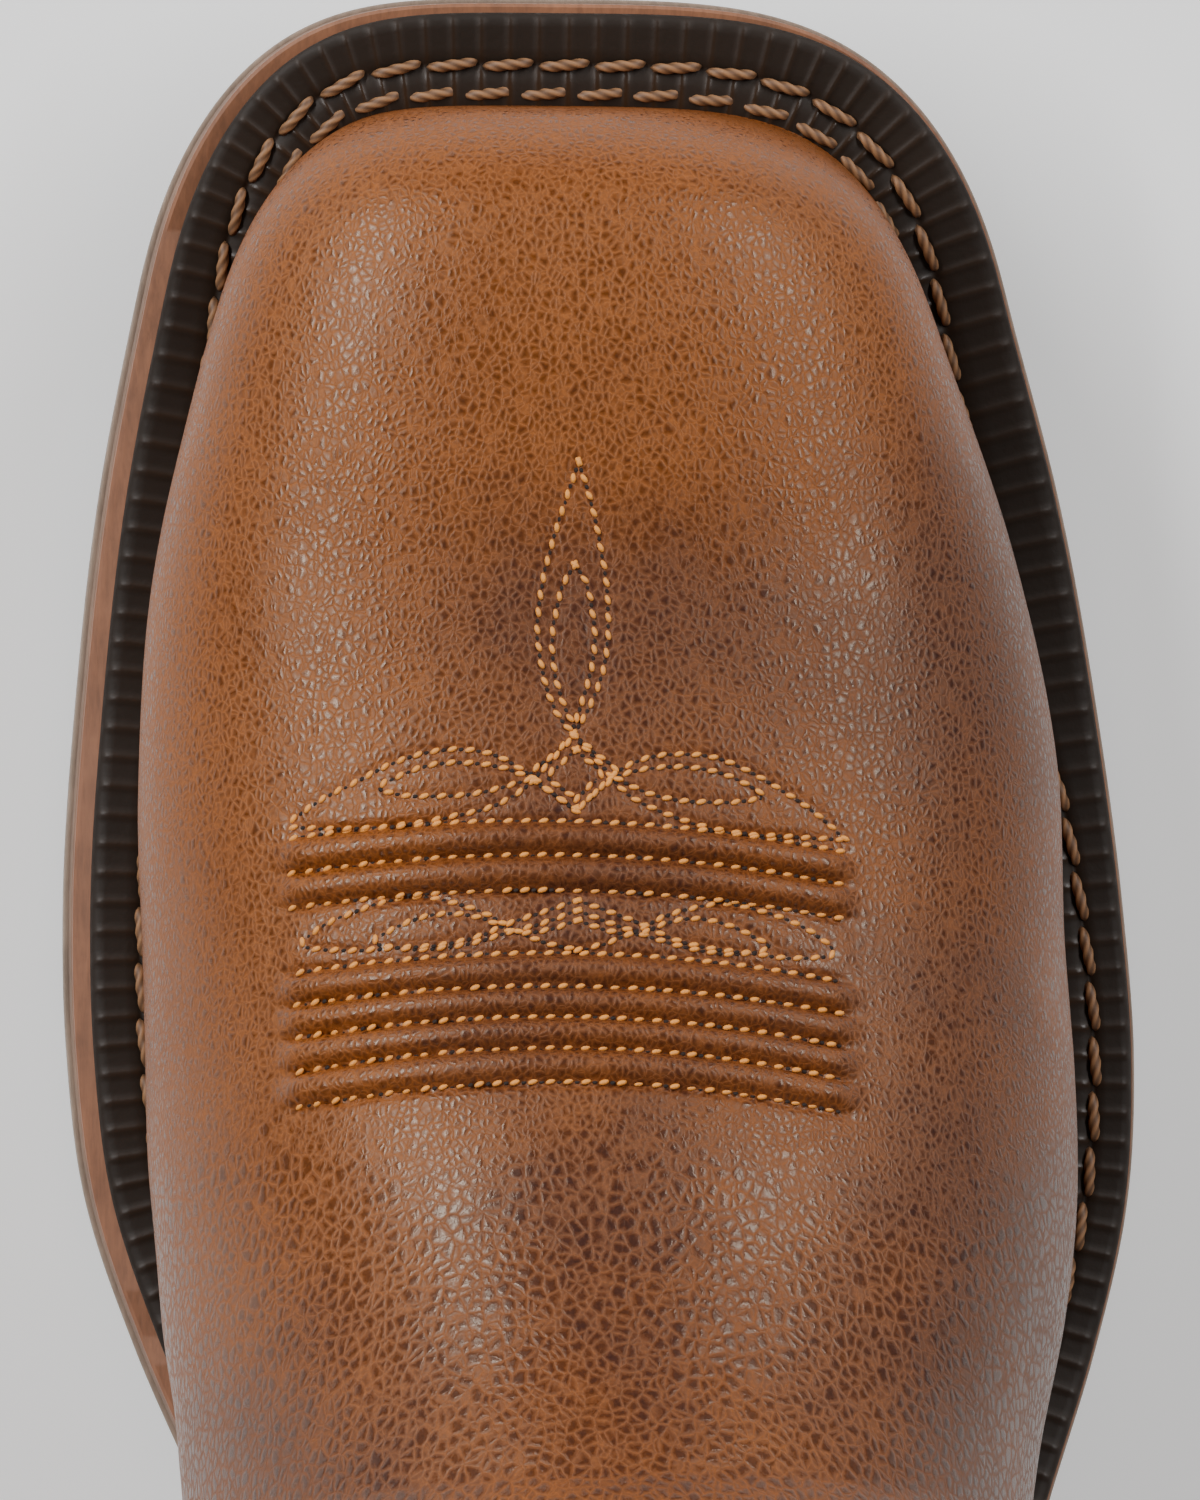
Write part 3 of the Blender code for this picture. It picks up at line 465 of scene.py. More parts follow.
def makePiece(name, points, faceSets, finishes, replaced=(), values=None, facePick=None,
              sharp=None, merge=2e-6):
    # One closed mesh from points and sets of faces, riding on the boot.
    # Doubles are merged, faces turned outward, and values become vertex attributes.
    points = np.asarray(points, float).reshape(-1, 3)
    faceSets = [np.asarray(faces) for faces in faceSets if len(faces)]
    corners = np.concatenate([faces.ravel() for faces in faceSets])
    sizes = np.concatenate([np.full(len(faces), faces.shape[1]) for faces in faceSets])
    mesh = bpy.data.meshes.new(name)
    mesh.vertices.add(len(points))
    mesh.vertices.foreach_set("co", points.astype(np.float32).ravel())
    mesh.loops.add(len(corners))
    mesh.loops.foreach_set("vertex_index", corners.astype(np.int32))
    mesh.polygons.add(len(sizes))
    starts = np.concatenate([[0], np.cumsum(sizes)[:-1]])
    mesh.polygons.foreach_set("loop_start", starts.astype(np.int32))
    mesh.update(calc_edges=True)
    for key, numbers in (values or {}).items():
        layer = mesh.attributes.new(key, "FLOAT", "POINT")
        layer.data.foreach_set("value", np.asarray(numbers, np.float32).ravel())
    for finish in finishes:
        mesh.materials.append(finish)
    if facePick is not None:
        mesh.polygons.foreach_set("material_index", np.asarray(facePick, np.int32))
    work = bmesh.new()
    work.from_mesh(mesh)
    bmesh.ops.remove_doubles(work, verts=work.verts, dist=merge)
    bmesh.ops.recalc_face_normals(work, faces=work.faces)
    work.to_mesh(mesh)
    work.free()
    mesh.shade_smooth()
    if sharp:
        mesh.set_sharp_from_angle(angle=sharp)
    made = addToScene(name, mesh)
    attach(made, "root")
    if replaced:
        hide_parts(*replaced)
    print(name, len(mesh.polygons), "faces")


def wholeSkin(station, turn, out=0.0):
    # Both sides as one grid: medial foot, crest, lateral foot.  turn runs from 0 to 2
    out = np.broadcast_to(out, np.broadcast_shapes(np.shape(station), np.shape(turn), np.shape(out)))
    left = skin(station, turn, medial, out)
    right = skin(station, turn, lateral, out)
    return np.concatenate([left, right[:, -2::-1]], 1)


def bothSides(values):
    # A table of values per row and turn, mirrored in the way that wholeSkin lays its grid
    return np.concatenate([values, values[:, -2::-1]], 1)


def evenPath(points, count=None, pitch=None, closed=False):
    # A path laid again at even spacing along its own length; columns past the third ride along
    if closed:
        points = np.concatenate([points, points[:1]])
    run = np.concatenate([[0], np.cumsum(np.linalg.norm(np.diff(points[:, :3], axis=0), axis=1))])
    if count is None:
        count = max(2, int(round(run[-1] / pitch)) + 1)
    at = np.linspace(0, run[-1], count, endpoint=not closed)
    return np.stack([np.interp(at, run, points[:, k]) for k in range(points.shape[1])], 1), at


def unit(vectors):
    # Each vector divided by its length
    return vectors / np.maximum(np.linalg.norm(vectors, axis=-1, keepdims=True), 1e-12)


def edgePath(count):
    # The sole's edge at even spacing: plan points, inward normals and running length
    points, at = evenPath(outline(0, edgeDetail), count=count, closed=True)
    step = np.roll(points, -1, 0) - np.roll(points, 1, 0)
    return points, unit(np.stack([step[:, 1], -step[:, 0]], 1)), at


def edgeRings(path, normal, profile):
    # A profile of (inset, level) carried round the sole's edge; both may be arrays per point
    rings = []
    for inset, level in profile:
        plan = path + normal * np.reshape(inset, (-1, 1))
        rings.append(np.column_stack([plan, underside(plan[:, 1]) + level]))
    return np.array(rings)


def capFaces(count, start):
    # Strips across a loop that starts at the heel: each medial point meets the lateral one
    # beside it, with one triangle at the heel's end and one at the toe's
    k = np.arange(1, count // 2 - 1)
    tip = count // 2
    ends = np.array([[0, 1, count - 1], [tip - 1, tip, tip + 1]])
    return [np.stack([k, k + 1, count - k - 1, count - k], -1) + start, ends + start]


def rimFaces(line, shift):
    # Quads along a line of points, each joined with the point that lies shift further on
    return np.stack([line[:-1], line[1:], line[1:] + shift, line[:-1] + shift], -1)


def closedTube(name, points, finish, node, values=None):
    # A grid closed round its columns, with one many-sided face on each end
    rows, columns = points.shape[:2]
    ends = np.arange(columns) + np.array([[0], [(rows - 1) * columns]])
    faces = [gridQuads(rows, columns, closedColumns=True), ends]
    makePiece(name, points, faces, [finish], [node], values, sharp=pi / 4)


def evenValues(points, burnishAndShade, coarse=0.0):
    # The leather's two attributes with one value each over a whole piece
    count = points.size // 3
    return {"burnishAndShade": np.full(count, burnishAndShade), "coarse": np.full(count, coarse)}


# Materials


def feed(tree, made, inputs):
    # Each input of a node set to a value, or linked where the value is another node's output
    for key, value in inputs.items():
        if isinstance(value, bpy.types.NodeSocket):
            tree.links.new(value, made.inputs[key])
        else:
            made.inputs[key].default_value = value


def put(tree, kind, inputs, **settings):
    # A new node with its settings and its inputs
    made = tree.nodes.new(kind)
    for key, value in settings.items():
        setattr(made, key, value)
    feed(tree, made, inputs)
    return made


def newMaterial(name):
    # A material, its node tree and its object coordinates
    made = bpy.data.materials.new(name)
    made.use_nodes = True
    return made, made.node_tree, put(made.node_tree, "ShaderNodeTexCoord", {}).outputs["Object"]


def dress(made, inputs):
    # The material with these inputs on its shader
    feed(made.node_tree, made.node_tree.nodes["Principled BSDF"], inputs)
    return made


def attribute(tree, name):
    # A value that the piece carries at its points
    return put(tree, "ShaderNodeAttribute", {}, attribute_name=name).outputs["Fac"]


def calc(tree, operation, a, b=0.0):
    # One step of arithmetic on two values
    return put(tree, "ShaderNodeMath", {0: a, 1: b}, operation=operation).outputs[0]


def weighed(tree, *terms):
    # Sum of the terms, each a value times its weight
    total = calc(tree, "MULTIPLY", *terms[0])
    for term in terms[1:]:
        total = calc(tree, "ADD", total, calc(tree, "MULTIPLY", *term))
    return total


def moved(tree, operation, vector, inputs):
    # One step of arithmetic on a vector
    return put(tree, "ShaderNodeVectorMath", {0: vector, **inputs}, operation=operation).outputs[0]


def stretched(tree, where, scale, turn=0.0):
    # Coordinates scaled, and turned about Z
    inputs = {"Vector": where, "Rotation": (0, 0, turn), "Scale": scale}
    return put(tree, "ShaderNodeMapping", inputs).outputs[0]


def blendColour(tree, share, a, b, kind="MIX"):
    # Colour a where the share is 0 and b where it is 1, or their product
    settings = {"data_type": "RGBA", "blend_type": kind}
    return put(tree, "ShaderNodeMix", {0: share, 6: a, 7: b}, **settings).outputs[2]


def grey(tree, level):
    # One value as a colour
    return put(tree, "ShaderNodeCombineColor", {0: level, 1: level, 2: level}).outputs[0]


def softStep(tree, value, low, high, outLow=0.0, outHigh=1.0):
    # outLow below low, outHigh above high, and a soft step between
    inputs = {"Value": value, "From Min": low, "From Max": high, "To Min": outLow, "To Max": outHigh}
    return put(tree, "ShaderNodeMapRange", inputs, interpolation_type="SMOOTHSTEP").outputs[0]


def noise(tree, where, scale, detail, rough, output="Fac"):
    # Cloudy noise with so many layers of detail, each the rough share of the one before
    inputs = {"Vector": where, "Scale": scale, "Detail": detail, "Roughness": rough}
    return put(tree, "ShaderNodeTexNoise", inputs).outputs[output]


def roundCells(tree, where, size, reach, power):
    # Rounded cells of one size: (distance to the cell's edge / reach) to a power, 1 at the middle
    inputs = {"Vector": where, "Scale": 1 / size}
    edge = put(tree, "ShaderNodeTexVoronoi", inputs, feature="DISTANCE_TO_EDGE").outputs[0]
    share = put(tree, "ShaderNodeMapRange", {"Value": edge, "From Max": reach}).outputs[0]
    return calc(tree, "POWER", share, power)


def bump(tree, height, strength, depth, under=None):
    # The surface raised by a height, over another bump where there is one
    inputs = {"Strength": strength, "Distance": depth, "Height": height}
    if under:
        inputs["Normal"] = under
    return put(tree, "ShaderNodeBump", inputs).outputs[0]


def rgb(red, green, blue):
    # A colour written as the screen's 0 to 255 values, turned linear
    c = np.array([red, green, blue]) / 255
    c = np.where(c <= 0.04045, c / 12.92, ((c + 0.055) / 1.055) ** 2.4)
    return (*c.tolist(), 1.0)


# In each look a noise is (scale, layers of detail, roughness), and a range is what a soft step
# runs between.  Shares are weights in a sum.
leatherLook = {
    "stretch": (1, 0.8, 1),
    "turn": 0.7,
    "swayNoise": (420.0, 3.0, 0.5),
    "sway": 1.1 * mm,
    "cellSize": 1.25 * mm,
    "cellReach": 0.42,
    "cellPower": 0.55,
    "fineCellSize": 0.78 * mm,
    "fineCellReach": 0.46,
    "fineCellPower": 0.60,
    "fineCellLoss": 0.75,
    "patchNoise": (45.0, 3.0, 0.5),
    "patchRange": (0.45, 0.85),
    "coarseShare": 0.5,
    "gritNoise": (2600.0, 3.0, 0.6),
    "cloudNoise": (70.0, 4.0, 0.6),
    "cloudShare": 0.9,
    "stainNoise": (26.0, 3.0, 0.55),
    "stainShare": 0.6,
    # How the attribute of wear and painted shade maps to darker tops and creases
    "burnishAndShadeRange": (-0.15, 0.85),
    "topBurnishAndShade": 0.85,
    "topCell": 0.22,
    "creaseBurnishAndShade": 0.55,
    "crease": (0.30, 0.082, 0.008, 1),
    "lightTop": (0.116, 0.031, 0.005, 1),
    "darkTop": (0.040, 0.014, 0.012, 1),
    "speckRange": (0.3, 0.7),
    "speckShade": (0.80, 1.12),
    "glossRange": (0.2, 0.9),
    "creaseRoughness": 0.55,
    "topRoughness": 0.25,
    "pebbleHeight": 0.8,
    "gritHeight": 0.14,
    "grainDepth": 0.07 * mm,
    "waveNoise": (190.0, 2.0, 0.5),
    "waveStrength": 0.5,
    "waveDepth": 0.16 * mm,
    "specular": 0.55,
    "specularTint": (1.0, 0.87, 0.72, 1),
}


def tanLeather(name):
    # Pebbled, oiled leather: dark glossy tops between matt orange creases.  Its grain is rounded
    # cells of two sizes, and wear with painted shade, clouds and stains darken it; painted light makes it
    # paler
    look = leatherLook
    made, tree, where = newMaterial(name)
    turned = stretched(tree, where, look["stretch"], look["turn"])
    sway = moved(tree, "SUBTRACT", noise(tree, turned, *look["swayNoise"], "Color"), {1: (0.5, 0.5, 0.5)})
    sway = moved(tree, "SCALE", sway, {"Scale": look["sway"]})
    bent = moved(tree, "ADD", turned, {1: sway})
    coarse = roundCells(tree, bent, look["cellSize"], look["cellReach"], look["cellPower"])
    fine = roundCells(tree, bent, look["fineCellSize"], look["fineCellReach"], look["fineCellPower"])
    patch = noise(tree, where, *look["patchNoise"])
    patch = weighed(tree, (attribute(tree, "coarse"), look["coarseShare"]), (patch, 1.0))
    pick = softStep(tree, patch, *look["patchRange"])
    fineShare = calc(tree, "SUBTRACT", 1.0, calc(tree, "MULTIPLY", pick, look["fineCellLoss"]))
    pebble = calc(tree, "MINIMUM", weighed(tree, (coarse, pick), (fine, fineShare)), 1.0)
    grit = noise(tree, where, *look["gritNoise"])
    cloud = calc(tree, "SUBTRACT", noise(tree, where, *look["cloudNoise"]), 0.5)
    stain = calc(tree, "SUBTRACT", noise(tree, where, *look["stainNoise"]), 0.5)
    # This attribute holds wear together with painted shade, and painted light where it is below zero
    wearAndShade = (attribute(tree, "burnishAndShade"), 1.0)
    burnishAndShade = weighed(tree, wearAndShade, (cloud, look["cloudShare"]), (stain, look["stainShare"]))
    burnishAndShade = softStep(tree, burnishAndShade, *look["burnishAndShadeRange"])
    own = put(tree, "ShaderNodeTexVoronoi", {"Vector": bent, "Scale": 1 / look["cellSize"]})
    own = put(tree, "ShaderNodeSeparateColor", {0: own.outputs["Color"]}).outputs[0]
    topShare = weighed(tree, (burnishAndShade, look["topBurnishAndShade"]), (own, look["topCell"]))
    topShare = calc(tree, "MINIMUM", topShare, 1.0)
    top = blendColour(tree, topShare, look["lightTop"], look["darkTop"])
    creaseShare = calc(tree, "MULTIPLY", burnishAndShade, look["creaseBurnishAndShade"])
    crease = blendColour(tree, creaseShare, look["crease"], look["darkTop"])
    speck = softStep(tree, grit, *look["speckRange"], *look["speckShade"])
    colour = blendColour(tree, 1.0, blendColour(tree, pebble, crease, top), grey(tree, speck), "MULTIPLY")
    gloss = softStep(tree, pebble, *look["glossRange"], look["creaseRoughness"], look["topRoughness"])
    height = weighed(tree, (pebble, look["pebbleHeight"]), (grit, look["gritHeight"]))
    grain = bump(tree, height, 1.0, look["grainDepth"])
    wave = noise(tree, where, *look["waveNoise"])
    return dress(made, {
        "Base Color": colour,
        "Roughness": gloss,
        "Normal": bump(tree, wave, look["waveStrength"], look["waveDepth"], grain),
        "Specular IOR Level": look["specular"],
        "Specular Tint": look["specularTint"],
    })


plainLook = {
    "cloudNoise": (60.0, 5.0, 0.65),
    "grainNoise": (900.0, 4.0, 0.6),
    "grainShare": 0.5,
    "toneRange": (0.45, 1.0),
    "roughRange": (0.2, 0.8),
    "roughSpread": 0.1,
    "grainStrength": 0.8,
    "grainDepth": 0.05 * mm,
}


def plainLeather(name, light, dark, roughness):
    # Finer, smoother leather for lining and edges: clouds and grain blend its two colours
    look = plainLook
    made, tree, where = newMaterial(name)
    cloud = noise(tree, where, *look["cloudNoise"])
    grain = noise(tree, where, *look["grainNoise"])
    share = weighed(tree, (cloud, 1.0), (grain, look["grainShare"]))
    share = softStep(tree, share, *look["toneRange"])
    smoothest, roughest = roughness - look["roughSpread"], roughness + look["roughSpread"]
    return dress(made, {
        "Base Color": blendColour(tree, share, rgb(*dark), rgb(*light)),
        "Roughness": softStep(tree, grain, *look["roughRange"], smoothest, roughest),
        "Normal": bump(tree, grain, look["grainStrength"], look["grainDepth"]),
    })


edgeLook = {
    "stretch": (1, 0.12, 1),
    "lineNoise": (1500.0, 4.0, 0.7),
    "lineShare": 0.6,
    "cloudNoise": (110.0, 4.0, 0.65),
    "cloudShare": 0.6,
    "shadeRange": (0.3, 0.9),
    "streak": 0.35,
    "lineStrength": 0.7,
    "lineDepth": 0.08 * mm,
}

# Colours up an edge, from its foot at 0 to its top at 1
soleEdgeColours = (
    (0.00, (70, 58, 50)),
    (0.25, (140, 122, 108)),
    (0.85, (158, 140, 124)),
    (1.00, (120, 98, 82)),
)
# On the midsole, the dark band from 0.50 to 0.68 lies in the groove below the lip and is painted shade
midsoleEdgeColours = (
    (0.00, (112, 84, 64)),
    (0.40, (128, 94, 70)),
    (0.50, (58, 38, 28)),
    (0.68, (70, 46, 34)),
    (0.74, (132, 86, 60)),
    (1.00, (140, 92, 64)),
)


def layeredEdge(name, colours, roughness):
    # An edge of stacked layers: colour by the level attribute, with fine streaks along it
    look = edgeLook
    made, tree, where = newMaterial(name)
    ramp = put(tree, "ShaderNodeValToRGB", {"Fac": attribute(tree, "level")})
    marks = ramp.color_ramp.elements
    while len(marks) < len(colours):
        marks.new(0.5)
    for mark, (place, colour) in zip(marks, colours):
        mark.position = place
        mark.color = rgb(*colour)
    lines = noise(tree, stretched(tree, where, look["stretch"]), *look["lineNoise"])
    cloud = noise(tree, where, *look["cloudNoise"])
    shade = weighed(tree, (lines, look["lineShare"]), (cloud, look["cloudShare"]))
    shade = softStep(tree, shade, *look["shadeRange"], 1 - look["streak"], 1 + look["streak"])
    return dress(made, {
        "Base Color": blendColour(tree, 1.0, ramp.outputs[0], grey(tree, shade), "MULTIPLY"),
        "Roughness": roughness,
        "Normal": bump(tree, lines, look["lineStrength"], look["lineDepth"]),
    })


waxLook = {
    "gritNoise": (1300.0, 4.0, 0.65),
    "cloudNoise": (90.0, 3.0, 0.5),
    "ribSheenShare": 0.75,
    "cloudShare": 0.35,
    "dark": (0.010, 0.005, 0.002, 1),
    "light": (0.036, 0.019, 0.010, 1),
    "roughRange": (0.1, 0.9),
    "roughness": (0.60, 0.30),
    "gritStrength": 0.6,
    "gritDepth": 0.06 * mm,
    "specular": 0.35,
}


def weltFinish(name):
    # Dark waxed welt: glossier along its ribs, and lighter there with a painted sheen
    look = waxLook
    made, tree, where = newMaterial(name)
    ribSheen = attribute(tree, "ribSheen")
    grit = noise(tree, where, *look["gritNoise"])
    cloud = noise(tree, where, *look["cloudNoise"])
    # The ribs' share blends in the lighter colour: a painted sheen on the raised ribs
    share = weighed(tree, (ribSheen, look["ribSheenShare"]), (cloud, look["cloudShare"]))
    return dress(made, {
        "Base Color": blendColour(tree, share, look["dark"], look["light"]),
        "Roughness": softStep(tree, ribSheen, *look["roughRange"], *look["roughness"]),
        "Normal": bump(tree, grit, look["gritStrength"], look["gritDepth"]),
        "Specular IOR Level": look["specular"],
    })


threadLook = {
    "fuzzNoise": (5200.0, 3.0, 0.6),
    "toneNoise": (170.0, 2.0, 0.5),
    "plyAndShadeShare": 0.75,
    "noiseShare": 0.22,
    "fuzzStrength": 0.6,
    "fuzzDepth": 0.05 * mm,
}


def threadFinish(name, light, dark, roughness):
    # Waxed thread: its attribute paints shade into the grooves between its strands and at the ends of
    # stitches and beads
    look = threadLook
    made, tree, where = newMaterial(name)
    fuzz = noise(tree, where, *look["fuzzNoise"])
    tone = noise(tree, where, *look["toneNoise"])
    both = calc(tree, "ADD", fuzz, tone)
    share = weighed(tree, (attribute(tree, "plyAndShade"), look["plyAndShadeShare"]), (both, look["noiseShare"]))
    return dress(made, {
        "Base Color": blendColour(tree, share, dark, light),
        "Roughness": roughness,
        "Normal": bump(tree, fuzz, look["fuzzStrength"], look["fuzzDepth"]),
    })


heelLook = {
    "liftHeight": 4.2 * mm,
    "stretch": (0.2, 0.2, 1),
    "lineNoise": (2200.0, 4.0, 0.7),
    "toneShare": 0.5,
    "lineShare": 0.6,
    "jointRange": (0.43, 0.5),
    "dark": (74, 44, 28),
    "light": (132, 88, 56),
    "joint": (38, 24, 18),
    "lineHeight": 0.3,
    "roughness": 0.45,
    "jointStrength": 0.8,
    "jointDepth": 0.15 * mm,
}


def heelStackFinish(name):
    # Stacked heel: thin leather lifts, each a little different, with dark joints
    look = heelLook
    made, tree, where = newMaterial(name)
    z = put(tree, "ShaderNodeSeparateXYZ", {0: where}).outputs[2]
    lift = calc(tree, "DIVIDE", z, look["liftHeight"])
    number = calc(tree, "FLOOR", lift)
    tone = put(tree, "ShaderNodeTexWhiteNoise", {"W": number}, noise_dimensions="1D").outputs[0]
    lines = noise(tree, stretched(tree, where, look["stretch"]), *look["lineNoise"])
    share = weighed(tree, (tone, look["toneShare"]), (lines, look["lineShare"]))
    colour = blendColour(tree, share, rgb(*look["dark"]), rgb(*look["light"]))
    fromMiddle = calc(tree, "ABSOLUTE", calc(tree, "SUBTRACT", calc(tree, "FRACT", lift), 0.5))
    joint = softStep(tree, fromMiddle, *look["jointRange"])
    height = calc(tree, "SUBTRACT", calc(tree, "MULTIPLY", lines, look["lineHeight"]), joint)
    return dress(made, {
        "Base Color": blendColour(tree, joint, colour, rgb(*look["joint"])),
        "Roughness": look["roughness"],
        "Normal": bump(tree, height, look["jointStrength"], look["jointDepth"]),
    })


rubberLook = {
    "gritNoise": (1500.0, 4.0, 0.65),
    "cloudNoise": (50.0, 3.0, 0.5),
    "gritShare": 0.4,
    "cloudShare": 0.7,
    "dark": (52, 42, 36),
    "light": (104, 86, 72),
    "roughness": 0.72,
    "gritStrength": 0.7,
    "gritDepth": 0.08 * mm,
}


def rubberFinish(name):
    # Matt rubber: clouds and grit blend its two colours
    look = rubberLook
    made, tree, where = newMaterial(name)
    grit = noise(tree, where, *look["gritNoise"])
    cloud = noise(tree, where, *look["cloudNoise"])
    share = weighed(tree, (cloud, look["cloudShare"]), (grit, look["gritShare"]))
    return dress(made, {
        "Base Color": blendColour(tree, share, rgb(*look["dark"]), rgb(*look["light"])),
        "Roughness": look["roughness"],
        "Normal": bump(tree, grit, look["gritStrength"], look["gritDepth"]),
    })


tan = tanLeather("tanLeather")
lining = plainLeather("liningLeather", (206, 178, 146), (172, 140, 108), 0.72)
pipingLeather = plainLeather("pipingLeather", (128, 84, 52), (86, 52, 34), 0.5)
waxedWelt = weltFinish("waxedWelt")
goldThread = threadFinish("goldThread", (0.86, 0.34, 0.06, 1), (0.20, 0.06, 0.01, 1), 0.5)
weltThread = threadFinish("weltThread", (0.34, 0.17, 0.075, 1), (0.04, 0.017, 0.009, 1), 0.55)
# Dark discs that paint the shade inside the stitch holes
stitchHoleShade = plainLeather("stitchHoleShade", (40, 22, 14), (24, 14, 10), 0.8)
stackedHeel = heelStackFinish("stackedHeel")
soleRubber = rubberFinish("soleRubber")
soleEdge = layeredEdge("soleEdge", soleEdgeColours, 0.75)
midsoleEdge = layeredEdge("midsoleEdge", midsoleEdgeColours, 0.6)
print("materials made")


# The sole

soleDetail = {
    "edgePoints": 1400,
    "weltPoints": 2400,
    "stitchPoints": 6000,
    "plateRound": 0.7 * mm,
    "lugBevel": 0.5 * mm,
    "lugDraft": 1.4,
}


def solidLayer(name, profile, levels, finish, replaced):
    # A full layer of the sole: rings round the edge from below up, with strips across both ends
    count = soleDetail["edgePoints"]
    path, normal, _ = edgePath(count)
    rings = edgeRings(path, normal, profile)
    faces = [gridQuads(len(rings), count, closedColumns=True)]
    faces += capFaces(count, 0) + capFaces(count, count * (len(rings) - 1))
    share = np.repeat(levels, count)
    makePiece(name, rings, faces, [finish], [replaced], {"level": share}, sharp=pi / 5)


def roundedEdge(low, high, radius, steps=5):
    # Quarter rounds at both corners of an edge: inset falls as the sine, level rises as the cosine
    turn = np.linspace(0, pi / 2, steps)
    below = [(radius * (1 - np.sin(a)), low + radius * (1 - np.cos(a))) for a in turn]
    above = [(radius * (1 - np.cos(a)), high - radius * (1 - np.sin(a))) for a in turn]
    return below + above


def lugPrisms():
    # Lugs in rows: each is a block whose foot is drawn in by a bevel, and which reaches a
    # little into the plate
    points, faces = [], []
    pitch = (lugLast - lugFirst) / lugRows
    bevel = soleDetail["lugBevel"]
    for row in range(lugRows):
        for inner, outer, chevron, shift in lugBars:
            start = lugFirst + (row + shift) * pitch
            end = start + lugShare * pitch
            if end > lugLast:
                continue
            for side in (medial, lateral):
                corners = []
                for along, across in ((start, inner), (start, outer), (end, outer), (end, inner)):
                    along = along - (chevron if across == inner else 0)
                    half = soleSide(along, side) - side * edgeFlare
                    corners.append((half * across, (along - 0.5) * soleLength))
                corners = np.array(corners)
                small = corners + unit(corners.mean(0) - corners) * bevel * soleDetail["lugDraft"]
                at = len(points) * 4
                for plan, level in ((small, 0), (corners, bevel), (corners, lugDepth + lugRoot)):
                    points.append(atLevel(plan, level))
                faces.append(gridQuads(3, 4, at, closedColumns=True))
                faces.append(at + np.array([[0, 1, 2, 3], [8, 9, 10, 11]]))
    return np.concatenate(points), np.concatenate(faces)


def buildOutsole():
    # The rubber plate, and the lugs under its forepart
    low, high = lugDepth, lugDepth + outsoleThickness
    profile = roundedEdge(low, high, soleDetail["plateRound"])
    levels = np.array([(level - low) / (high - low) for _, level in profile])
    solidLayer("outsolePlate", profile, levels, soleEdge, "outsole")
    points, faces = lugPrisms()
    makePiece("outsoleLugs", points, [faces], [soleRubber], ["outsole"], sharp=pi / 6)


# The midsole's edge from its foot up: level as a share of its thickness, and inset in mm
midsoleProfile = table(
    "level inset",
    (0.00, 0.15),
    (0.05, -0.30),
    (0.30, -0.15),
    (0.40, -0.05),
    (0.46, 0.35),
    (0.52, 0.70),
    (0.60, 0.70),
    (0.66, 0.35),
    (0.72, 0.00),
    (0.78, -0.05),
    (0.95, 0.05),
    (1.00, 0.40),
)


def buildMidsole():
    # The leather layer, whose edge has a groove below its lip
    low = lugDepth + outsoleThickness + gap
    levels = midsoleProfile["level"]
    insets = edgeFlare / 2 + midsoleProfile["inset"] * mm
    profile = list(zip(insets, low + midsoleThickness * levels))
    solidLayer("midsoleLayer", profile, levels, midsoleEdge, "midsole")


weltLook = {
    "ribPitch": 3.1 * mm,
    "ribHeight": 0.24 * mm,
    "ribSharpness": 10,
    "ribWobble": ((0.18, 23 * mm, 0), (0.12, 7.3 * mm, 1)),
    "ribSink": 0.12 * mm,
    "upperClearance": 0.4 * mm,
    "lipWidth": 0.3 * mm,
    "lipLean": 0.7 * mm,
    "edgeHeight": 0.7 * mm,
    "edgeWidth": 0.25 * mm,
    "edgeDrop": 0.35 * mm,
    "edgeRun": 0.12,
    "innerRise": 0.30 * mm,
    "riseRun": 0.35,
    "seatDip": 0.35 * mm,
    "seatRun": 0.09,
    "ribStart": -0.04,
    "calmShare": 0.7,
    "calmRun": 0.10,
    "sideRib": 0.2,
    "outerRib": 0.55,
}

# Places across the welt, from its edge at 0 to the stitch row at 1 and on towards the upper
weltPlaces = (0.0, 0.10, 0.25, 0.45, 0.65, 0.82, 0.94, 1.0, 1.06, 1.2, 1.4, 1.6)

# The welt's outer stitch row: its distance from the sole's edge in mm.  From the ball to the
# toe's corners it runs under the upper's bulge.
stitchTable = table(
    "along inner outer",
    (0.25, 8.1, 6.0),
    (0.55, 8.1, 5.8),
    (0.70, 8.1, 5.6),
    (0.735, 8.3, 6.3),
    (0.78, 8.8, 8.6),
    (0.86, 8.8, 8.8),
    (0.91, 7.9, 7.9),
    (0.95, 7.4, 7.4),
    (1.00, 7.4, 7.4),
)


def stitchLine(path, normal):
    # Both columns of the table, blended over the heel and toe by the edge's own direction
    along = path[:, 1] / soleLength + 0.5
    inner, outer = smooth(stitchTable, "inner", along), smooth(stitchTable, "outer", along)
    inset = (inner + (outer - inner) * ease(0.5 - normal[:, 0])) * mm
    return np.minimum(inset, ballWidth * smooth(featherTable, "inset", along) - weltLook["upperClearance"])


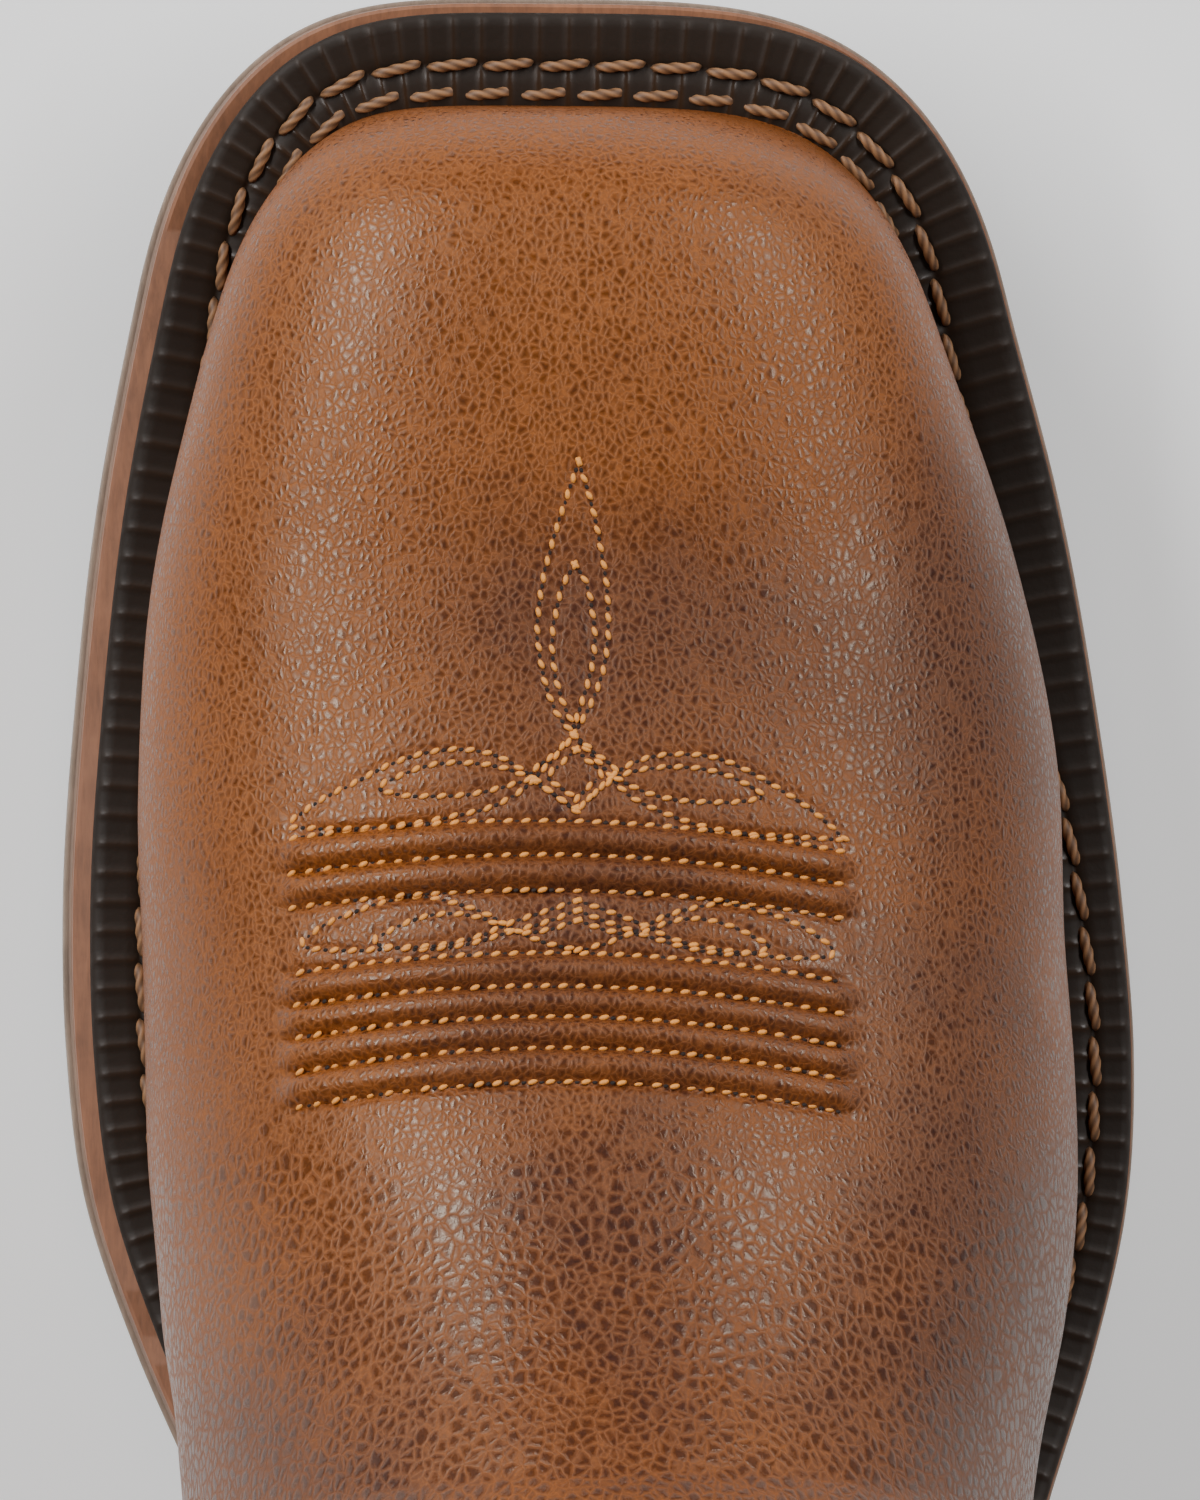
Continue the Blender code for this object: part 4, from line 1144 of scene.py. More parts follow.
def buildWelt():
    # Ribs: height = cos(pi s / pitch) to an even power, for s along the edge.  They fade towards
    # the edge and where the stitch row lies in its dip, exp(-(distance / run)^2).
    look = weltLook
    high = weltFoot + weltThickness
    count = soleDetail["weltPoints"]
    path, normal, run = edgePath(count)
    inner = ballWidth * smooth(featherTable, "inset", path[:, 1] / soleLength + 0.5)
    ribs = 2 * round(run[-1] / look["ribPitch"] / 2)
    wobble = sum(size * np.sin(run / length + start) for size, length, start in look["ribWobble"])
    wave = np.abs(np.cos(pi * ribs * np.arange(count) / count + wobble)) ** look["ribSharpness"]
    edge = edgeFlare + look["lipWidth"] + look["lipLean"] * normal[:, 0]
    shoulder = edge + look["edgeWidth"]
    level = np.full(count, high)
    none = np.zeros(count)
    foot = np.full(count, weltFoot)
    profile = [(edge, foot), (edge, level - look["edgeHeight"])]
    ribSheenShare = [none, look["sideRib"] * wave]
    stitch = stitchLine(path, normal)
    for place in weltPlaces:
        past = place - 1
        rise = look["innerRise"] * ease(past / look["riseRun"])
        dip = look["seatDip"] * np.exp(-((past / look["seatRun"]) ** 2))
        drop = look["edgeDrop"] * (1 - ease(place / look["edgeRun"])) + look["ribSink"]
        calm = look["calmShare"] * np.exp(-((past / look["calmRun"]) ** 2))
        strength = ease((place - look["ribStart"]) / look["edgeRun"]) * (1 - calm)
        top = high + rise - dip - drop + wave * look["ribHeight"] * strength
        profile.append((shoulder + (stitch - shoulder) * place, top))
        # This share also paints the ribs' sheen, fullest on the inner side by the upper
        ribSheenShare.append(wave * strength * (1.0 if place > 1 else look["outerRib"]))
    deep = inner + wall + vampStep
    profile += [(deep, level), (deep, foot)]
    ribSheenShare += [none, none]
    rings = edgeRings(path, normal, profile)
    faces = gridQuads(len(rings), count, closedRows=True, closedColumns=True)
    values = {"ribSheen": np.concatenate(ribSheenShare)}
    makePiece("weltStrip", rings, [faces], [waxedWelt], ["welt"], values)


ropeLook = {
    "pitch": 5.9 * mm,
    "length": 5.6 * mm,
    "radius": 0.62 * mm,
    "strands": 3,
    "turns": 1.1,
    "grooveDepth": 0.24,
    "narrowest": 0.80,
    "tipShare": 0.12,
    "flatness": 0.85,
    "lift": 0.28 * mm,
    "endSink": 0.45 * mm,
    "clearance": 0.05 * mm,
    "lean": 0.10,
    "steps": 40,
    "rows": 15,
    "columns": 15,
}

# The welt's stitch rows: how far each lies inside the first, and where along the sole it starts
weltRows = (
    (0.0, breastAlong + 0.03),
    (3.0 * mm, 0.925),
)


def ropeStitches(centres, tangents, ups):
    # Twisted stitches: a round section whose radius ripples with the strands, carried along
    # a low arch that dips into its holes.  All of them are worked out in one array.
    look = ropeLook
    rows, columns = look["rows"], look["columns"]
    t = np.linspace(-1, 1, rows)[None, :, None]
    phi = np.linspace(0, 2 * pi, columns, endpoint=False)[None, None, :]
    plyAndShade = 0.5 + 0.5 * np.cos(look["strands"] * (phi - look["turns"] * pi * t))
    tip = look["tipShare"]
    taper = np.sqrt(np.clip(1 - np.abs(t) ** 5, 0, 1)) * (1 - tip) + tip * (1 - np.abs(t))
    width = look["radius"] * taper * (look["narrowest"] + look["grooveDepth"] * plyAndShade)
    side = unit(np.cross(ups, tangents))
    arch = look["lift"] * (1 - np.abs(t) ** 3) - look["endSink"] * np.abs(t) ** 4
    centre = centres[:, None, None, :] + tangents[:, None, None, :] * (t * look["length"] / 2)[..., None]
    centre = centre + ups[:, None, None, :] * arch[..., None]
    points = centre + side[:, None, None, :] * (width * np.cos(phi))[..., None]
    points = points + ups[:, None, None, :] * (width * np.sin(phi) * look["flatness"])[..., None]
    count, block = len(centres), rows * columns
    shift = (np.arange(count) * block)[:, None, None]
    cap = np.arange(columns)[None, None, :]
    quads = gridQuads(rows, columns, closedColumns=True)[None]
    faces = [(quads + shift).reshape(-1, 4)]
    faces += [(cap + shift + start).reshape(-1, columns) for start in (0, block - columns)]
    # Painted shade: darker in the grooves between the strands and towards both ends, where the stitch dips
    # into its holes
    shade = np.broadcast_to(plyAndShade * (0.45 + 0.55 * (1 - np.abs(t) ** 6)), (count, rows, columns))
    return points.reshape(-1, 3), faces, shade.ravel()


def buildWeltStitches():
    # Each row is cut into steps, with a stitch on every one of a number of them.  A stitch leans
    # a little, because the thread enters from one side.
    high = weltFoot + weltThickness + ropeLook["clearance"]
    path, normal, _ = edgePath(soleDetail["stitchPoints"])
    along = path[:, 1] / soleLength + 0.5
    steps = ropeLook["steps"]
    rows = []
    for extra, start in weltRows:
        plan = path + normal * (stitchLine(path, normal) + extra)[:, None]
        keep = along > start
        first = int(np.argmax(keep))
        last = len(keep) - int(np.argmax(keep[::-1]))
        line, _ = evenPath(plan[first:last], pitch=ropeLook["pitch"] / steps)
        at = np.arange(steps // 2, len(line) - steps // 2, steps)
        centre = line[at]
        tangent = unit(line[at + steps // 4] - line[at - steps // 4])
        tangent = unit(tangent + ropeLook["lean"] * np.stack([-tangent[:, 1], tangent[:, 0]], 1))
        slope = (underside(centre[:, 1] + mm) - underside(centre[:, 1] - mm)) / (2 * mm)
        tangent = unit(np.column_stack([tangent, slope * tangent[:, 1]]))
        up = unit(np.column_stack([np.zeros(len(slope)), -slope, np.ones(len(slope))]))
        rows.append((atLevel(centre, high), tangent, up))
    points, faces, shade = ropeStitches(*(np.concatenate(part) for part in zip(*rows)))
    makePiece("weltStitches", points, faces, [weltThread], (), {"plyAndShade": shade}, merge=1e-7)


buildOutsole()
buildMidsole()
buildWelt()
buildWeltStitches()
for node, finish in (("heel_block", stackedHeel), ("heel_lift", soleRubber), ("insole", lining)):
    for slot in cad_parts[node].material_slots:
        slot.material = finish
print("sole made")


# The upper

vampShape = {
    "rowsBeforePattern": 60,
    "rowsInPattern": 210,
    "rowsAfterPattern": 102,
    "columns": 105,
    "patternStations": (3.9, 7.9),
    "innerStep": 3,
    "toeCrowding": 0.15,
    "seamFade": 0.10,
    "seamDrop": 0.45 * mm,
    "coarseFrom": 48 * mm,
    "coarseOver": 30 * mm,
}

# Wear and painted shade in plan, darker towards the right side and the low corners, with painted light
# where a strength is below zero, paler at the left side and the toe; in mm: strength, x, y, half width and
# half length of each soft hill
burnishAndShadeHills = (
    (0.45, -4, 58, 26, 18),
    (0.48, -4, 88, 22, 16),
    (0.30, 22, 84, 16, 14),
    (0.70, 38, 88, 13, 36),
    (0.75, 40, 14, 20, 32),
    (0.50, -37, 2, 14, 16),
    (0.60, -2, 22, 18, 22),
    (-0.20, -40, 66, 10, 34),
    (-0.30, -4, 130, 40, 14),
)


def burnishAndShadeAt(points):
    # Wear and painted shade in plan, with painted light where a strength is below zero: each hill is its
    # strength times exp(-(distance / size)^2)
    x, y = points[..., 0] / mm, points[..., 1] / mm
    value = np.zeros_like(x)
    for strength, cx, cy, wide, long in burnishAndShadeHills:
        value = value + strength * np.exp(-(((x - cx) / wide) ** 2) - ((y - cy) / long) ** 2)
    return value


patternLook = {
    "ridgeHeight": 1.10 * mm,
    "rowValley": 0.38 * mm,
    "lineValley": 0.28 * mm,
    "rowWidth": 0.5,
    "lineWidth": 0.55,
    "ridgePower": 0.8,
    "lowRidge": 0.35,
    "linePitch": 0.4,
    "ends": (-37.5, 23.0),
    "fadeLength": 3.5,
    "box": (-40, 26, 50, 110),
}

# Straight rows of the toe pattern, in mm: y at the left end, at the middle and at the right end
rowTable = (
    # leftX, leftY, middleX, middleY, rightX, rightY, ridge below it
    (-35.0, 67.4, -4.2, 69.2, 20.9, 66.3, 1),
    (-35.2, 63.8, -4.2, 65.8, 20.7, 63.0, 1),
    (-35.1, 60.3, -4.3, 62.2, 20.6, 59.5, 0),
    (-34.4, 53.7, -4.4, 55.8, 20.1, 53.1, 1),
    (-34.7, 50.4, -4.5, 52.5, 20.4, 49.8, 1),
    (-34.5, 47.1, -4.5, 49.4, 20.3, 46.5, 1),
    (-34.5, 43.6, -4.5, 46.3, 20.1, 43.2, 1),
    (-34.5, 40.1, -4.7, 42.9, 20.0, 39.9, 0),
)

# Curved lines of the pattern, in mm: a flame, a diamond, two leaves and the loops between rows
curveTable = (
    (
        (-5.9, 106.2), (-7.7, 100.9), (-8.7, 97.6), (-9.6, 94.0), (-10.1, 90.4), (-10.2, 88.6),
        (-10.0, 86.7), (-9.4, 83.4), (-7.9, 79.8), (-6.5, 78.2),
    ),
    (
        (-5.9, 106.2), (-4.4, 101.1), (-3.7, 97.6), (-3.1, 94.1), (-2.9, 90.5), (-2.9, 88.6),
        (-3.4, 85.0), (-4.8, 81.2), (-6.5, 78.2),
    ),
    (
        (-6.3, 95.6), (-7.4, 93.8), (-8.3, 90.5), (-8.7, 87.8), (-8.5, 85.1), (-7.7, 81.7),
        (-6.5, 79.0),
    ),
    (
        (-6.3, 95.6), (-5.3, 94.1), (-4.5, 90.5), (-4.3, 88.6), (-4.6, 85.2), (-5.6, 81.7),
        (-6.5, 79.0),
    ),
    (
        (-6.5, 78.2), (-8.6, 76.1), (-11.0, 73.9), (-8.6, 72.0), (-6.4, 70.3),
    ),
    (
        (-6.5, 78.2), (-4.4, 76.3), (-2.2, 74.3), (-4.4, 72.2), (-6.4, 70.3),
    ),
    (
        (-6.3, 76.6), (-7.8, 75.2), (-9.2, 73.8), (-7.8, 72.6), (-6.3, 71.6),
    ),
    (
        (-6.3, 76.6), (-5.0, 75.4), (-3.8, 74.2), (-5.0, 72.9), (-6.3, 71.6),
    ),
    (
        (-35.0, 69.4), (-32.0, 71.5), (-28.7, 73.2), (-25.5, 74.9), (-21.7, 76.2), (-18.0, 76.6),
        (-14.6, 76.0), (-11.0, 73.9), (-8.6, 72.0), (-6.4, 70.6),
    ),
    (
        (-35.0, 68.5), (-30.6, 68.4), (-26.4, 68.6), (-22.4, 69.1), (-18.8, 69.8), (-15.1, 70.7),
        (-12.1, 72.3), (-9.5, 74.8), (-6.5, 78.0),
    ),
    (
        (-10.4, 73.4), (-13.7, 74.7), (-17.2, 75.2), (-21.0, 75.0), (-24.2, 73.9), (-26.4, 72.6),
        (-24.2, 71.9), (-21.0, 71.8), (-17.2, 72.0), (-14.0, 72.7), (-10.4, 73.8),
    ),
    (
        (-6.4, 70.6), (-4.4, 72.2), (-2.2, 74.3), (1.0, 75.8), (4.5, 76.2), (8.2, 75.8),
        (11.6, 74.4), (14.9, 72.5), (18.1, 70.4), (21.4, 67.6),
    ),
    (
        (-6.5, 78.0), (-3.6, 74.9), (-1.1, 72.1), (2.6, 70.2), (6.5, 68.9), (10.2, 68.2),
        (15.5, 67.8), (20.9, 67.5),
    ),
    (
        (-2.8, 73.7), (0.4, 74.6), (3.8, 74.9), (7.7, 74.5), (10.9, 73.3), (12.9, 71.9),
        (10.8, 71.4), (7.6, 71.3), (4.0, 71.5), (1.0, 72.2), (-2.8, 74.0),
    ),
    (
        (-6.4, 61.2), (-9.7, 60.1), (-13.3, 58.9), (-16.6, 57.5), (-19.9, 56.7), (-25.2, 56.3),
        (-29.5, 56.0), (-34.2, 56.7), (-32.5, 58.2), (-29.5, 59.7), (-26.0, 60.9), (-22.5, 61.5),
        (-19.3, 61.0), (-15.9, 59.9), (-13.3, 58.5), (-10.0, 57.0), (-6.4, 56.2),
    ),
    (
        (-6.4, 60.2), (-10.0, 58.9), (-13.3, 58.0), (-16.6, 57.0), (-19.9, 56.4), (-23.3, 56.2),
        (-27.0, 57.0), (-25.1, 58.2), (-21.9, 59.5), (-18.5, 59.8), (-15.6, 59.2), (-13.0, 58.0),
        (-9.6, 58.2), (-6.4, 59.2),
    ),
    (
        (-6.4, 61.2), (-3.2, 60.1), (0.2, 58.8), (3.4, 57.3), (6.6, 56.5), (11.4, 55.9),
        (15.6, 55.4), (20.0, 56.1), (18.4, 57.6), (15.4, 59.2), (12.0, 60.3), (8.7, 60.9),
        (5.6, 60.5), (2.4, 59.6), (-0.2, 58.3), (-3.2, 57.0), (-6.4, 56.2),
    ),
    (
        (-6.4, 60.2), (-3.0, 58.9), (0.2, 57.8), (3.4, 56.8), (6.6, 56.1), (9.8, 55.8),
        (13.2, 56.6), (11.4, 57.7), (8.2, 59.0), (5.0, 59.4), (2.2, 58.8), (-0.4, 57.8),
        (-3.4, 58.2), (-6.4, 59.2),
    ),
)


def rowHeight(row, x):
    # The parabola through a row's two ends and its middle
    leftX, leftY, middleX, middleY, rightX, rightY, _ = row
    a = (x - middleX) * (x - rightX) / ((leftX - middleX) * (leftX - rightX))
    b = (x - leftX) * (x - rightX) / ((middleX - leftX) * (middleX - rightX))
    c = (x - leftX) * (x - middleX) / ((rightX - leftX) * (rightX - middleX))
    return leftY * a + middleY * b + rightY * c


def smoothLine(points, pitch):
    # A cubic curve through the points over their running length, laid at even spacing
    points = np.array(points, float)
    run = np.concatenate([[0], np.cumsum(np.linalg.norm(np.diff(points, axis=0), axis=1))])
    at = np.linspace(0, run[-1], max(12, int(run[-1] / 0.1)))
    curve = {"run": run, "x": points[:, 0], "y": points[:, 1]}
    fine = np.stack([smooth(curve, "x", at), smooth(curve, "y", at)], 1)
    return evenPath(fine, pitch=pitch)[0]


def patternLines(pitch):
    # Every line of the toe pattern in plan, in mm
    rows = []
    for row in rowTable:
        x = np.linspace(row[0], row[4], 300)
        rows.append(evenPath(np.stack([x, rowHeight(row, x)], 1), pitch=pitch)[0])
    return rows, [smoothLine(curve, pitch) for curve in curveTable]


def inSlices(work, items, size):
    # The work done on a slice of the items at a time, so that its tables stay small
    slices = np.array_split(items, max(1, len(items) // size))
    return np.concatenate([work(part) for part in slices])


def nearestDistance(points, targets):
    # Least distance from each point to the targets
    def distance(part):
        return np.sqrt(((part[:, None] - targets[None]) ** 2).sum(-1).min(1))

    return inSlices(distance, points, 400)


def vampRelief(points):
    # Height added to the vamp.  A ridge between two rows is a half sine of the share of the
    # way from one to the other; every stitched line is a narrow valley, exp(-(distance / width)^2).
    look = patternLook
    x, y = points[..., 0] / mm, points[..., 1] / mm
    height = np.zeros_like(x)
    left, right = look["ends"]
    ends = ease((x - left) / look["fadeLength"]) * ease((right - x) / look["fadeLength"])
    for upper, lower in zip(rowTable, rowTable[1:]):
        high, low = rowHeight(upper, x), rowHeight(lower, x)
        share = np.clip((high - y) / (high - low), 0, 1)
        ridge = look["ridgeHeight"] * (1 if upper[-1] else look["lowRidge"])
        height += ridge * np.sin(pi * share) ** look["ridgePower"] * ends
    for row in rowTable:
        away = (y - rowHeight(row, x)) / look["rowWidth"]
        height -= look["rowValley"] * np.exp(-(away**2)) * ends
    left, right, near, far = look["box"]
    box = (x > left) & (x < right) & (y > near) & (y < far)
    curves = np.concatenate(patternLines(look["linePitch"])[1])
    distance = nearestDistance(np.stack([x[box], y[box]], 1), curves)
    height[box] -= look["lineValley"] * np.exp(-((distance / look["lineWidth"]) ** 2)) * ends[box]
    return height


def rimCells(outerLine, innerLine, step):
    # The rim between a fine edge and one with every step-th point of it: a many-sided face for
    # each coarse cell, and one for what is left at the end
    cells = (len(outerLine) - 1) // step
    k = np.arange(cells) * step
    fine = [outerLine[k + s] for s in range(step + 1)]
    faces = [np.stack(fine + [innerLine[1:cells + 1], innerLine[:cells]], -1)]
    if len(outerLine) - 1 > cells * step:
        last = innerLine[cells:cells + 2][::-1]
        faces.append(np.concatenate([outerLine[cells * step:], last])[None])
    return faces


def everyStep(count, step):
    # Every step-th index of a row, with its last one
    return np.unique(np.append(np.arange(0, count, step), count - 1))


def buildVamp():
    # Fine outer skin with the toe pattern's relief, coarse inner skin, and rims along the foot
    # line and the seam
    look = vampShape
    turn = np.linspace(0, 2, look["columns"])
    first, last = look["patternStations"]
    seam = seamStation(turn)
    before = np.linspace(0, 1, look["rowsBeforePattern"] + 1)[:, None] * first
    before = before - look["toeCrowding"] * before * (1 - before / first)
    inside = np.linspace(first, last, look["rowsInPattern"] + 1)[1:, None]
    after = last + np.linspace(0, 1, look["rowsAfterPattern"] + 1)[1:, None] * (seam - last)
    station = np.concatenate([before + 0 * seam, inside + 0 * seam, after])
    turns = turn[None, :] + 0 * station
    base = wholeSkin(station, turns, vampStep)
    normal = unit(wholeSkin(station, turns, vampStep + mm) - base)
    edgeDrop = bothSides((1 - ease((seam - station) / look["seamFade"])) * look["seamDrop"])
    outer = base + normal * (vampRelief(base) - edgeDrop)[..., None]
    rows, columns = outer.shape[:2]
    step = look["innerStep"]
    inner = wholeSkin(station, turns, -wall)[everyStep(rows, step)][:, everyStep(columns, step)]
    inRows, inColumns = inner.shape[:2]
    start = rows * columns
    outerIndex = np.arange(start).reshape(rows, columns)
    innerIndex = start + np.arange(inRows * inColumns).reshape(inRows, inColumns)
    faces = [gridQuads(rows, columns), gridQuads(inRows, inColumns, start)]
    for line in ((slice(None), 0), (slice(None), -1), (-1, slice(None))):
        faces += rimCells(outerIndex[line], innerIndex[line], step)
    pick = np.concatenate([np.full(len(part), k == 1, int) for k, part in enumerate(faces)])
    points = np.concatenate([outer.reshape(-1, 3), inner.reshape(-1, 3)])
    coarse = ease((look["coarseFrom"] - points[:, 1]) / look["coarseOver"])
    # Its first attribute holds wear and painted shade from the hills, and painted light where they fall
    # below zero
    makePiece("vampLeather", points, faces, [tan, lining], ["vamp"],
              {"burnishAndShade": burnishAndShadeAt(points), "coarse": coarse}, pick, sharp=pi / 4)
    return outer.reshape(-1, 3), normal.reshape(-1, 3)


patternBeads = {
    "pitch": 1.8 * mm,
    "bead": (1.12 * mm, 0.62 * mm, 0.50 * mm),
    "beadLift": 0.10 * mm,
    "holeShade": (0.55 * mm, 0.44 * mm, 0.14 * mm),
    "holeShadeLift": 0.02 * mm,
    "lean": 0.34,
    "alongRange": (35 * mm, 112 * mm),
    "upwards": 0.2,
}
beadRows, beadColumns = 6, 7


def beads(centres, tangents, normals, size):
    # Small closed drops: half width = cos, place along the stitch = sin, both of one angle
    length, width, height = size
    a = np.linspace(-pi / 2, pi / 2, beadRows)[None, :, None]
    b = np.linspace(0, 2 * pi, beadColumns, endpoint=False)[None, None, :]
    side = unit(np.cross(normals, tangents))
    along = (np.sin(a) + 0 * b)[..., None] * tangents[:, None, None, :] * length / 2
    across = (np.cos(a) * np.cos(b))[..., None] * side[:, None, None, :] * width / 2
    up = (np.cos(a) * np.sin(b))[..., None] * normals[:, None, None, :] * height / 2
    points = centres[:, None, None, :] + along + across + up
    quads = gridQuads(beadRows, beadColumns, closedColumns=True)
    shift = (np.arange(len(centres)) * beadRows * beadColumns)[:, None, None]
    # Painted shade: each bead darker towards both ends, where it sinks into the leather
    shade = np.broadcast_to(0.35 + 0.65 * np.cos(a) ** 0.5 + 0 * b, points.shape[:3])
    return points.reshape(-1, 3), (quads[None] + shift).reshape(-1, 4), shade.ravel()


def beadsAndHoles(name, holeShadeName, lines, look):
    # Lines of (points, tangents, normals) with two points to a stitch: gold beads on the even
    # ones, and between them on the odd ones dark discs of painted shade where the holes lie
    odd = np.concatenate([np.arange(len(points)) % 2 for points, _, _ in lines]).astype(bool)
    places, tangents, normals = (np.concatenate(part) for part in zip(*lines))
    kinds = ((name, ~odd, "bead", goldThread), (holeShadeName, odd, "holeShade", stitchHoleShade))
    for piece, pick, kind, finish in kinds:
        centres = places[pick] + normals[pick] * look[kind + "Lift"]
        points, quads, shade = beads(centres, tangents[pick], normals[pick], look[kind])
        values = {"plyAndShade": shade} if kind == "bead" else {}
        makePiece(piece, points, [quads], [finish], (), values, merge=1e-7)


def dropOn(plan, surface, facing):
    # Plan points lifted onto a surface by the tangent plane of each one's nearest surface point
    def nearest(part):
        return ((part[:, None, :] - surface[None, :, :2]) ** 2).sum(-1).argmin(1)

    pick = inSlices(nearest, plan, 60)
    base, normal = surface[pick], facing[pick]
    offset = plan - base[:, :2]
    z = base[:, 2] - (normal[:, 0] * offset[:, 0] + normal[:, 1] * offset[:, 1]) / normal[:, 2]
    return np.column_stack([plan, z]), normal


def buildPatternStitches(surface, facing):
    # One gold bead and one dark disc of painted hole shade per stitch, along every line of the toe
    # pattern.  Each bead leans a little across its line.
    rows, curves = patternLines(patternBeads["pitch"] / mm / 2)
    first, last = patternBeads["alongRange"]
    upper = (surface[:, 1] > first) & (surface[:, 1] < last) & (facing[:, 2] > patternBeads["upwards"])
    surface, facing = surface[upper], facing[upper]
    lines = []
    for line in rows + curves:
        place, normal = dropOn(line * mm, surface, facing)
        tangent = np.column_stack([np.gradient(line, axis=0), np.zeros(len(line))])
        tangent = unit(tangent - (tangent * normal).sum(1, keepdims=True) * normal)
        tangent = unit(tangent + np.cross(normal, tangent) * patternBeads["lean"])
        lines.append((place, tangent, normal))
    beadsAndHoles("patternStitches", "patternHoleShade", lines, patternBeads)


shaftShape = {
    "lowRows": 26,
    "highRows": 90,
    "columns": 60,
    "foldStation": 16.2,
    "foldSpread": 1.9,
    "foldHeight": 0.30 * mm,
    "backCalm": (0.15, 0.5),
    "seamCalm": (0.12, 0.4),
    "burnishAndShade": -0.05,
    "coarse": 0.5,
}

# Wear up the leg: strength, height and half height of each soft band, in mm
shaftBands = (
    (0.35, 105, 28),
    (0.10, 30, 18),
)


def shaftStations(turn):
    # Rows from under the vamp's edge, with one at the heel's back, up to the collar
    start = seamStation(turn)
    corner = (heelStation - start[0]) / (collarStation - start[0])
    lowShare = np.linspace(0, 1, shaftShape["lowRows"] + 1)[:, None]
    highShare = np.linspace(0, 1, shaftShape["highRows"] + 1)[1:, None]
    low = start + corner * (collarStation - start) * lowShare
    return np.concatenate([low, low[-1] + (collarStation - low[-1]) * highShare])


def shaftBurnish(points):
    # Darker in the ankle's folds and towards the foot: strength times exp(-(height away / size)^2)
    z = points[:, 2] / mm
    bands = sum(strength * np.exp(-(((z - middle) / size) ** 2)) for strength, middle, size in shaftBands)
    return bands + shaftShape["burnishAndShade"]


def shaftRelief(station, turns):
    # Soft wrinkles across the ankle: two waves in the station, bent by the turn, which fade up
    # and down the leg as exp(-(stations away / spread)^2), and at the back and by the vamp's seam
    look = shaftShape
    spread = (station - look["foldStation"]) / look["foldSpread"]
    start, run = look["backCalm"]
    fold = np.exp(-(spread**2)) * ease((turns - start) / run)
    wave = np.sin(station * 6.2 + 1.1 * np.sin(turns * 2.1)) + 0.5 * np.sin(station * 11.0 + turns * 3.0)
    start, run = look["seamCalm"]
    return look["foldHeight"] * fold * wave * ease((station - seamStation(turns) - start) / run)


def buildShaft():
    # Outer and inner skin of the leg.  Below the heel's back their side columns are open and get
    # a rim; above it they meet at the back seam.
    look = shaftShape
    turn = np.linspace(0, 2, look["columns"])
    station = shaftStations(turn)
    turns = turn[None, :] + 0 * station
    outer = wholeSkin(station, turns, shaftRelief(station, turns))
    inner = wholeSkin(station, turns, -wall)
    rows, columns = outer.shape[:2]
    start = rows * columns
    index = np.arange(start).reshape(rows, columns)
    low = slice(look["lowRows"] + 1)
    faces = [gridQuads(rows, columns), gridQuads(rows, columns, start)]
    faces += [rimFaces(line, start) for line in (index[low, 0], index[low, -1], index[0], index[-1])]
    pick = np.concatenate([np.full(len(part), k == 1, int) for k, part in enumerate(faces)])
    points = np.concatenate([outer.reshape(-1, 3), inner.reshape(-1, 3)])
    values = {"burnishAndShade": shaftBurnish(points), "coarse": np.full(2 * start, look["coarse"])}
    makePiece("shaftLeather", points, faces, [tan, lining], ["shaft_front", "shaft_back"],
              values, pick, sharp=pi / 4)


counterShape = {
    "lowRows": 16,
    "highRows": 24,
    "columns": 34,
    "edgeDrop": 0.35 * mm,
    "edgeSteepness": 30,
    "burnishAndShade": 0.25,
    "coarse": 0.2,
}


def buildCounter():
    # Each side is its own grid from the back seam to the front edge; the sides meet at the seam
    look = counterShape
    turn = np.linspace(0, 1, look["columns"])
    front, top = counterEdges(turn)
    corner = (heelStation - front[0]) / (top[0] - front[0])
    low = np.linspace(0, corner, look["lowRows"] + 1)
    share = np.concatenate([low, np.linspace(corner, 1, look["highRows"] + 1)[1:]])[:, None]
    station = front + (top - front) * share
    turns = turn[None, :] + 0 * station
    fromEdge = np.minimum(np.minimum(share, 1 - share), 1 - turns) * look["edgeSteepness"]
    thick = gap + counterThickness - look["edgeDrop"] * (1 - ease(fromEdge))
    rows, columns = station.shape
    grid, index = rows * columns, np.arange(rows * columns).reshape(rows, columns)
    points, faces = [], []
    for k, side in enumerate((medial, lateral)):
        start = 2 * k * grid
        points += [skin(station, turns, side, out).reshape(-1, 3) for out in (thick, gap)]
        faces += [gridQuads(rows, columns, start), gridQuads(rows, columns, start + grid)]
        for line in (index[0], index[-1], index[:, -1], index[:look["lowRows"] + 1, 0]):
            faces.append(rimFaces(line + start, grid))
    points = np.concatenate(points)
    values = evenValues(points, look["burnishAndShade"], look["coarse"])
    makePiece("counterLeather", points, faces, [tan], ["heel_counter"], values, sharp=pi / 4)


bindingLook = {
    "columns": 90,
    "rows": 12,
    "foldRows": 9,
    "rowShares": (0.03, 0.96),
    "footLift": 0.1 * mm,
    "footDrop": 0.15 * mm,
    "footSteepness": 8,
    "burnishAndShade": 0.45,
}
collarPace = shaftRise * (stationTable["rise"][-1] - stationTable["rise"][-2])


def belowCollar(distance):
    # The station that lies a real distance under the collar
    return collarStation - distance / collarPace


